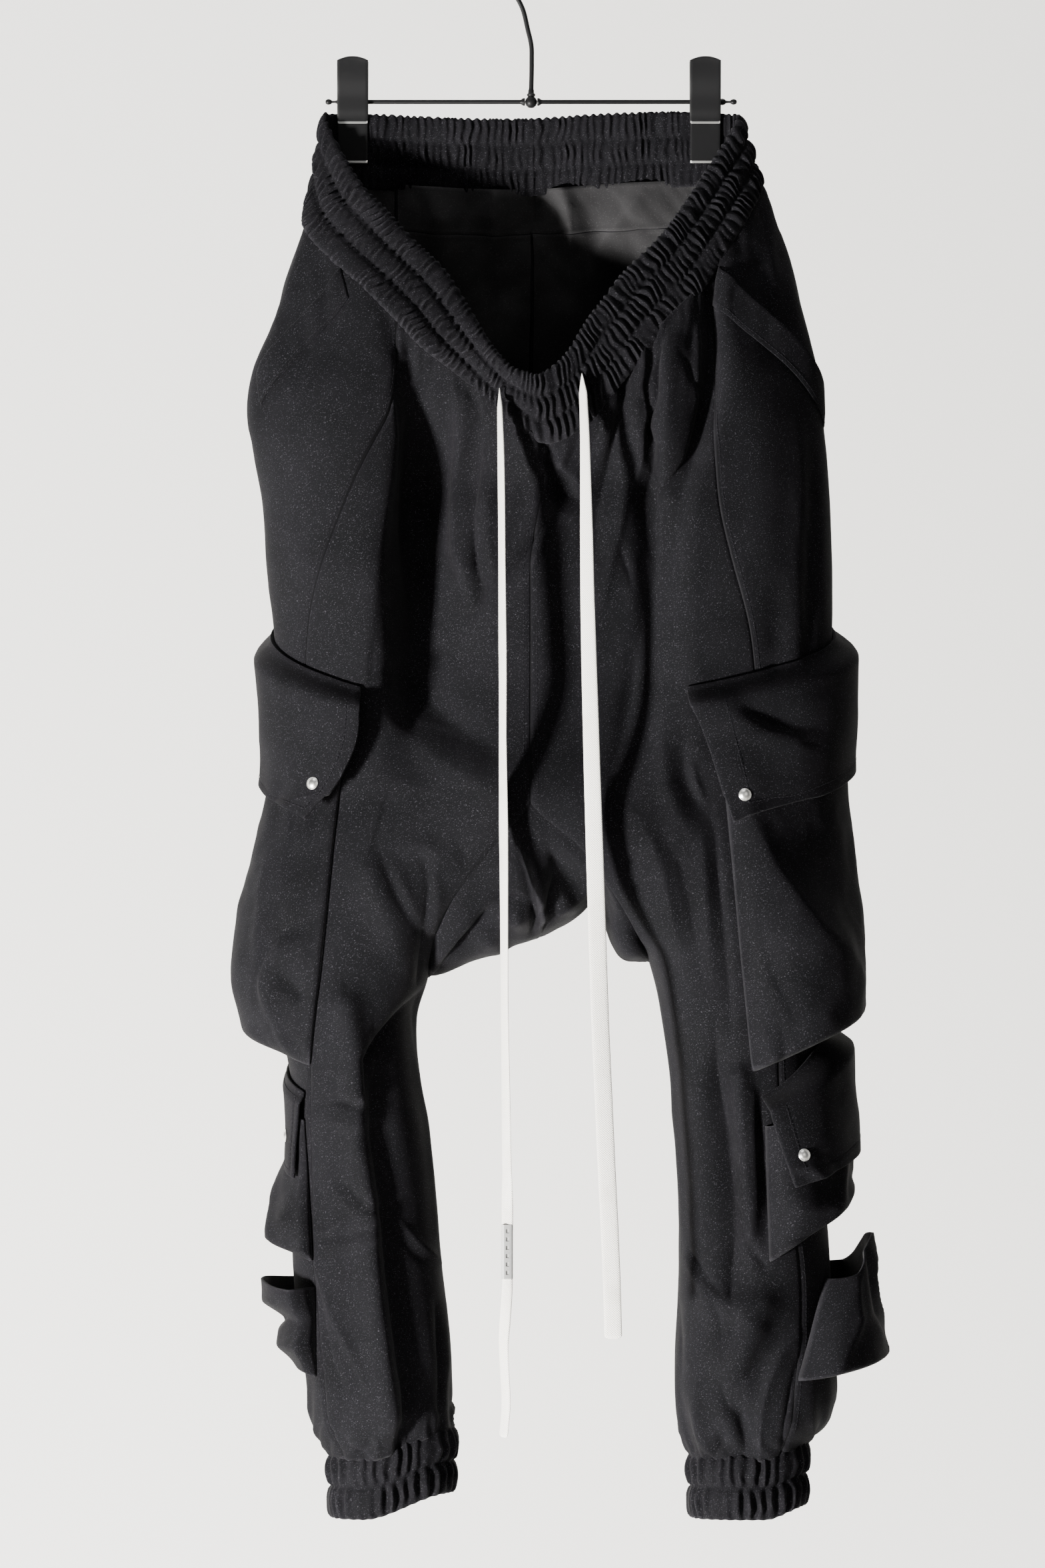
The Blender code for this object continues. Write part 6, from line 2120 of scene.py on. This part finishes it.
# ------------------------------------------------------------------ hanger
@dataclass
class ClipHanger:
    """Turned bar, centre ball, hook and two spring clips."""

    finish: Wardrobe
    centre: tuple = (1.9, 0.0, 0.0)
    half_bar: float = 146.0
    hook_inner: float = 20.0
    hook_wire: float = 3.4
    clip_width: float = 21.0
    clip_wall: float = 1.1
    coil: int = 9
    coil_radius: float = 3.0
    coil_wire: float = 0.75
    coil_length: float = 14.8

    def build(self) -> list:
        """Make every piece of the hanger.

        Returns:
            The new pieces.
        """
        pieces = [self.bar(side) for side in Side]
        pieces += [self.ball(), self.hook()]
        for side in Side:
            pieces += [self.plate(side, "front"), self.plate(side, "back"), self.spring(side)]
        return pieces

    def fit(self, node: str, mesh: Mesh,
            material: Optional[Material] = None) -> Piece:
        """Put a mesh in as a piece of the hanger, painted unless told otherwise."""
        return link("hanger_" + node, mesh, material or self.finish.steel, [node])

    def bar(self, side: Side) -> Piece:
        """One half of the bar with its turned end."""
        inner = ((4.3, 0.0), (4.3, 2.6), (5.2, 2.9), (6.2, 2.4), (7.2, 1.7), (8.0, 1.6))
        knob = ((0.905, 1.6), (0.912, 1.5), (0.918, 2.2), (0.93, 2.4), (0.94, 2.0), (0.946, 1.0),
                (0.956, 0.8), (0.968, 0.9), (0.973, 1.7), (0.982, 2.1), (0.992, 1.9),
                (0.998, 1.1), (1.0, 0.0))
        profile = inner + tuple((share * self.half_bar, radius) for share, radius in knob)
        node = "bar_" + side.value
        return self.fit(node, turned("hanger_" + node, profile, self.centre,
                                     (side.sign, 0.0, 0.0), 28))

    def ball(self) -> Piece:
        """The centre ball with its ferrule."""
        profile = ((-4.4, 0.0), (-4.3, 1.3), (-3.9, 2.2), (-2.6, 3.5), (-1.0, 4.2),
                   (0.4, 4.3), (1.8, 3.9), (3.2, 2.8), (3.9, 2.3), (4.3, 2.9), (5.2, 3.1),
                   (5.9, 2.6), (6.4, 2.1), (8.4, 2.0), (9.2, 1.7), (9.4, 0.0))
        return self.fit("ball", turned("hanger_ball", profile, self.centre, (0.0, 0.0, 1.0)))

    def hook(self) -> Piece:
        """The bent wire hook: an S-shaped neck and an open round top."""
        neck = ((0.0, -4.6), (0.5, -14.0), (1.0, -28.0), (1.0, -40.0), (-1.2, -51.0),
                (-4.6, -66.0), (-11.0, -78.5), (-18.0, -90.0))
        points = [(x + self.centre[0] * (1.0 - drop / neck[-1][1]), 0.0, -drop)
                  for x, drop in neck]
        radius = self.hook_inner + self.hook_wire / 2
        middle = -BAR_Z - self.hook_inner
        for turn in np.radians(np.arange(190, -31, -14)):
            points.append((radius * cos(turn), 0.0, middle + radius * sin(turn)))
        route = smooth_route(np.array(points), 2.4)
        size = np.ones(len(route))
        size[-2:] = 0.85, 0.35
        ring = size[:, None, None] * circle(self.hook_wire / 2, 20)
        face = np.tile((0.0, -1.0, 0.0), (len(route), 1))
        return self.fit("hook", swept("hanger_hook", route, ring, face))

    def plate(self, side: Side, face: str) -> Piece:
        """One bent clip plate with its arched top and turned-in sides.

        Args:
            side: left or right clip.
            face: front or back plate.

        Returns:
            The piece.
        """
        sign = -1.0 if face == "front" else 1.0
        # drop and distance from the bar's axis
        bends = np.array(((-29.2, 9.2), (-27.0, 8.8), (-20.0, 8.2), (-14.0, 7.4), (-4.0, 5.2),
                          (6.0, 4.2), (11.0, 3.2), (16.0, 3.0), (36.0, 2.9), (43.5, 2.9)))
        across = np.concatenate(([-0.5, -0.5], np.linspace(-0.5, 0.5, 22), [0.5, 0.5]))
        lips = np.concatenate(([2.4, 1.2], np.zeros(22), [1.2, 2.4]))
        drop, share = np.meshgrid(np.linspace(bends[0, 0], bends[-1, 0], 48), across,
                                  indexing="ij")
        arch = 2.6 * (1.0 - (share / 0.5) ** 2) * smooth((-18.0 - drop) / 11.0)
        deep = lips * smooth((12.0 - drop) / 8.0)
        places = np.stack((CLIP_X[side] + share * self.clip_width,
                           sign * (read_table(bends, drop)[..., 0] + 0.6 - deep),
                           arch - drop), axis=-1)
        node = "clip_" + face + "_" + side.value
        obj = self.fit(node, grid_mesh("hanger_" + node, places, outward=(0.0, sign, 0.0)))
        obj.data.materials.append(self.finish.silver)
        for polygon in obj.data.polygons:
            drop = -(polygon.center.z / MM - BAR_Z)
            # the bright strip and the jaw
            polygon.material_index = int(13.6 < drop < 16.4 or drop > 41.8)
        thicken(obj, self.clip_wall, round_edge=0.35)
        return obj

    def spring(self, side: Side) -> Piece:
        """The coil round the bar between the plates."""
        marks = np.linspace(0.0, self.coil * 2 * pi, self.coil * 22)
        along = CLIP_X[side] + self.coil_length * (marks / marks[-1] - 0.5)
        face = np.stack((0 * marks, np.cos(marks), np.sin(marks)), axis=-1)
        route = face * self.coil_radius + along[:, None] * (1.0, 0.0, 0.0)
        node = "clip_spring_" + side.value
        return self.fit(node, swept("hanger_" + node, route, circle(self.coil_wire, 8)[None],
                                    face), self.finish.silver)


# ------------------------------------------------------------------ studio
class Lamp(NamedTuple):
    """A square soft light: its place in metres, side, power, tint and what it is aimed at."""

    name: str
    place: tuple
    size: float
    watts: float
    colour: tuple = (1.0, 1.0, 1.0)
    aim: tuple = (0.0, 0.0, -0.6)


@dataclass
class Studio:
    """Pale wall and floor, soft lights and the camera."""

    scale: float = 0.47
    height: int = 2352
    middle: tuple = (-4.2, -40.0, -483.6)
    distance: float = 7000.0
    sensor: float = 36.0
    room_light: float = 0.15
    lamps: tuple = (
        Lamp("key", (-2.4, -2.3, -2.1), 0.4, 840.0, (1.0, 0.985, 0.96)),
        Lamp("fill", (2.4, -4.0, 0.3), 2.4, 26.0, (1.0, 0.97, 0.93)),
        Lamp("top", (-0.3, -1.2, 2.0), 1.6, 14.0),
        Lamp("wall_top", (0.0, 0.25, 1.3), 1.2, 24.0, aim=(0.0, 0.8, -0.3)),
        Lamp("wall_low", (0.0, 0.25, -2.0), 1.2, 14.0, aim=(0.0, 0.8, -0.9)))

    @staticmethod
    def place(name: str, data: bpy.types.ID) -> Piece:
        """Put a camera, lamp or mesh in the scene."""
        obj = bpy.data.objects.new(name, data)
        bpy.context.scene.collection.objects.link(obj)
        return obj

    def camera(self) -> None:
        """Level camera in front of the hanger."""
        data = bpy.data.cameras.new("camera")
        data.sensor_fit = "VERTICAL"
        data.sensor_height = self.sensor
        data.sensor_width = 24.0
        data.lens = self.sensor * self.distance / (self.height * self.scale)
        data.clip_end = 100.0
        obj = self.place("camera", data)
        obj.location = to_metres(self.middle) - (0.0, self.distance * MM, 0.0)
        obj.rotation_euler = (radians(90.0), 0.0, 0.0)
        bpy.context.scene.camera = obj

    def room(self) -> None:
        """A floor that curves up into the wall."""
        turn = np.linspace(0.0, pi / 2, 16)
        curve = np.stack((300.0 + 500.0 * np.sin(turn), -1700.0 - 500.0 * np.cos(turn)), -1)
        line = np.concatenate((((-9000.0, -2200.0),), curve, ((800.0, 5000.0),)))
        x = np.linspace(-6000.0, 6000.0, 9)
        places = np.stack(np.broadcast_arrays(x, line[:, :1], line[:, 1:]), axis=-1)
        mesh = grid_mesh("studio", places, outward=(0.0, -1.0, 1.0))
        mesh.materials.append(Paint("studio_wall", (0.66, 0.652, 0.63), 0.9).build())
        self.place("studio", mesh)

    def light(self) -> None:
        """Hang the lamps and set the room's own light."""
        for lamp in self.lamps:
            data = bpy.data.lights.new(lamp.name, "AREA")
            data.size, data.energy, data.color = lamp.size, lamp.watts, lamp.colour
            obj = self.place(lamp.name, data)
            obj.location = lamp.place
            towards = Vector(lamp.aim) - obj.location
            obj.rotation_euler = towards.to_track_quat("-Z", "Y").to_euler()
        world = bpy.data.worlds.new("soft_room")
        world.use_nodes = True
        Nodes(world.node_tree).join(world.node_tree.nodes["Background"],
                                    {0: (0.9, 0.92, 0.95, 1.0), 1: self.room_light})
        bpy.context.scene.world = world

    def build(self) -> None:
        """Set the camera, the room and the lights."""
        self.camera()
        self.room()
        self.light()


# ------------------------------------------------------------------ the whole piece
CORD_LEFT = np.array([
    (-20.4, -79.5, 206.0), (-20.0, -84.5, 224.0), (-19.4, -90.0, 250.0),
    (-18.9, -95.5, 284.0), (-18.6, -98.0, 324.0), (-18.3, -98.5, 366.0),
    (-18.0, -98.0, 410.0), (-18.0, -97.0, 455.0), (-17.6, -95.8, 500.0),
    (-17.2, -94.5, 545.0), (-17.0, -93.0, 590.0), (-16.8, -92.0, 635.0),
    (-16.2, -91.2, 680.0), (-15.6, -90.9, 725.0), (-15.0, -90.8, 765.0),
    (-14.8, -90.8, 790.0), (-14.8, -90.8, 812.0), (-14.8, -90.8, 834.0),
    (-16.2, -90.4, 856.0), (-17.4, -90.0, 876.0), (-16.6, -90.0, 898.0),
    (-15.8, -90.0, 918.0), (-17.6, -90.0, 941.0)]) * (1, 1, -1)
CORD_RIGHT = np.array([
    (37.4, -83.8, 196.0), (38.4, -86.6, 214.0), (39.4, -92.0, 240.0),
    (40.0, -96.0, 274.0), (40.6, -98.0, 312.0), (41.2, -98.5, 352.0),
    (42.2, -98.0, 394.0), (43.4, -97.0, 436.0), (44.6, -96.0, 478.0),
    (46.0, -94.6, 522.0), (47.4, -93.2, 566.0), (48.8, -92.2, 608.0),
    (50.2, -91.6, 650.0), (52.4, -91.2, 700.0), (54.6, -91.0, 750.0),
    (56.8, -91.0, 795.0), (58.4, -91.0, 835.0), (59.4, -91.0, 872.0)]) * (1, 1, -1)


@dataclass
class Trousers:
    """The whole garment."""

    finish: Wardrobe
    body: Body = field(init=False)

    def __post_init__(self) -> None:
        """Lay out the body that everything is sewn to."""
        self.body = Body(self.finish)

    def bands(self) -> list:
        """The waistband and both cuffs."""
        band = Waistband(self.finish, "waistband", channels=3, ridges=150, rise=1.8, bulge=2.6,
                         rows=8)
        cuffs = [Cuff(self.finish, "cuff_" + side.value, channels=2, ridges=32, rise=1.9,
                      bulge=2.6, rows=11, slant=0.25, half=half)
                 for side, half in self.body.halves.items()]
        return [piece.build() for piece in (band, *cuffs)]

    def bags(self) -> list:
        """The six bellows bags."""
        left, right = self.body.halves.values()
        return [
            Bag(name="upper_bag_l", half=left, front=((-127.0, 436.0), (-153.0, 681.0)),
                back=(374.0, 662.0), wrap=36, inset=(3.0, 4.0), deep=(7.0, 24.0),
                front_share=0.06, creases=LEFT_BAG_CREASES, swell=0.62, across=96, down=80),
            Bag(name="upper_bag_r", half=right, front=((133.0, 436.0), (157.5, 685.0)),
                back=(376.0, 641.0), wrap=38, inset=(4.0, 94.0), deep=(10.0, 30.0),
                front_share=0.9, creases=RIGHT_BAG_CREASES, spread=2.0, across=96, down=80),
            Bag(name="lower_bag_l", half=left, front=((-156.5, 720.0), (-151.0, 819.0)),
                back=(692.0, 800.0), wrap=58, inset=(4.0, 5.0), deep=(2.0, 14.0),
                front_share=0.4, creases=LOWER_CREASES),
            Bag(name="lower_bag_r", half=right, front=((167.0, 724.0), (170.0, 819.0)),
                back=(677.0, 738.0), wrap=42, inset=(12.0, 19.0), deep=(14.0, 19.0),
                front_share=1.0, creases=LOWER_CREASES),
            Bag(name="calf_bag_l", half=left, front=((-151.0, 838.0), (-149.0, 901.0)),
                back=(834.0, 890.0), wrap=58, inset=(4.0, 5.0), deep=(20.0, 14.0),
                front_share=0.9, creases=LEFT_CALF_CREASES, peak=4.0),
            Bag(name="calf_bag_r", half=right, front=((208.0, 833.0), (190.0, 903.0)),
                back=(824.0, 893.0), wrap=45, inset=(9.0, 9.0), deep=(27.0, 34.0),
                front_share=0.7, creases=CALF_CREASES, peak=24.0)]

    def flaps(self) -> list:
        """The four flaps."""
        left, right = self.body.halves.values()
        return [
            Flap(name="upper_flap_l", half=left, front=((-117.5, 415.5), (-145.0, 514.0)),
                 back=(352.0, 452.0), wrap=40, stand=12.5, corner=10.0, snap=(0.075, 0.73),
                 hem=5.0, creases=LEFT_FLAP_CREASES, bow=11.0),
            Flap(name="upper_flap_r", half=right, front=((110.9, 415.5), (138.0, 515.0)),
                 back=(352.0, 446.0), wrap=42, stand=16.0, corner=5.0, snap=(0.05, 0.78),
                 creases=RIGHT_FLAP_CREASES),
            Flap(name="lower_flap_l", half=left, front=((-156.0, 700.0), (-157.0, 762.0)),
                 back=(668.0, 738.0), wrap=62, stand=3.0, corner=3.0, snap=(0.2, 0.6), hem=5.0),
            Flap(name="lower_flap_r", half=right, front=((163.5, 703.0), (178.0, 766.0)),
                 back=(645.0, 722.0), wrap=45, stand=21.5, corner=3.0, snap=(0.08, 0.7),
                 creases=LEFT_FLAP_CREASES, peak=9.0)]

    def pockets(self) -> list:
        """Bags, flaps with their snaps, and the hand pockets, each with its stitches.

        Returns:
            The new pieces.
        """
        left, right = self.body.halves.values()
        mouths = (HandPocket("hand_pocket_l", left, (1.235, 0.014), (1.41, 0.262)),
                  HandPocket("hand_pocket_r", right, (1.03, 0.03), (1.5, 0.35)))
        pieces = []
        for part in (*self.bags(), *self.flaps(), *mouths):
            thread = Thread("stitches_" + part.name)
            pieces += [part.build(self.finish, thread), thread.build(self.finish.thread)]
            if isinstance(part, Flap):
                snap = Snap(part.name.replace("flap", "snap"), *part.snap_place())
                pieces.append(snap.build(self.finish))
        return pieces

    def seams(self) -> list:
        """Stitching beside the body's seams.

        Returns:
            The new pieces.
        """
        pieces = []
        for side, half in self.body.halves.items():
            thread = Thread("stitches_seams_" + side.value)
            run = along_rows(half.places)
            every = np.arange(len(half.levels))
            for column, gap, first, last in SEAM_ROWS:
                cut = int(np.argmin(np.abs(half.columns - column)))
                marks = np.array([np.interp(length[cut] + gap, length, np.arange(len(length)))
                                  for length in run])
                row = np.interp(np.linspace(first, last, 260), half.levels, every)
                mark = np.interp(row, every, marks)
                normal = unit(bilinear(half.normals, row, mark))
                thread.add(bilinear(half.places, row, mark), normal, CLOTH / 2 + 0.15)
            pieces.append(thread.build(self.finish.thread))
        return pieces

    def cords(self) -> list:
        """Both drawcord ends and the crimp."""
        crimp = Crimp((-14.8, -90.8)).build(self.finish)
        left = Drawcord("cord_left", "drawcord_l", CORD_LEFT,
                        (4.0,) + (12.4,) * 8 + (11.8, 6.4, 11.0, 12.4),
                        (-60, -70, -70, -66, -68, -62, -66, -68, -64, -58, 0, -56, -64))
        right = Drawcord("cord_right", "drawcord_r", CORD_RIGHT,
                         (7.4, 10.2, 11.4, 12.2, 12.4, 12.4, 12.4),
                         (-50, -30, -16, -8, 5, 0, -6))
        return [left.build(self.finish, [crimp]), crimp, right.build(self.finish)]


def report(title: str, pieces: Sequence[Piece]) -> None:
    """Log what a sub-assembly added."""
    LOG.info("%s: %d pieces (%s)", title, len(pieces), ", ".join(p.name for p in pieces))


def main() -> None:
    """Build the camera and room, the cords, the garment and the hanger."""
    Studio().build()
    finish = Wardrobe()
    trousers = Trousers(finish)
    report("cords", trousers.cords())
    report("body", trousers.body.build())
    report("bands", trousers.bands())
    report("pockets", trousers.pockets())
    report("seams", trousers.seams())
    report("hanger", ClipHanger(finish).build())


if __name__ == "__main__":
    logging.basicConfig(level=logging.INFO)
    main()
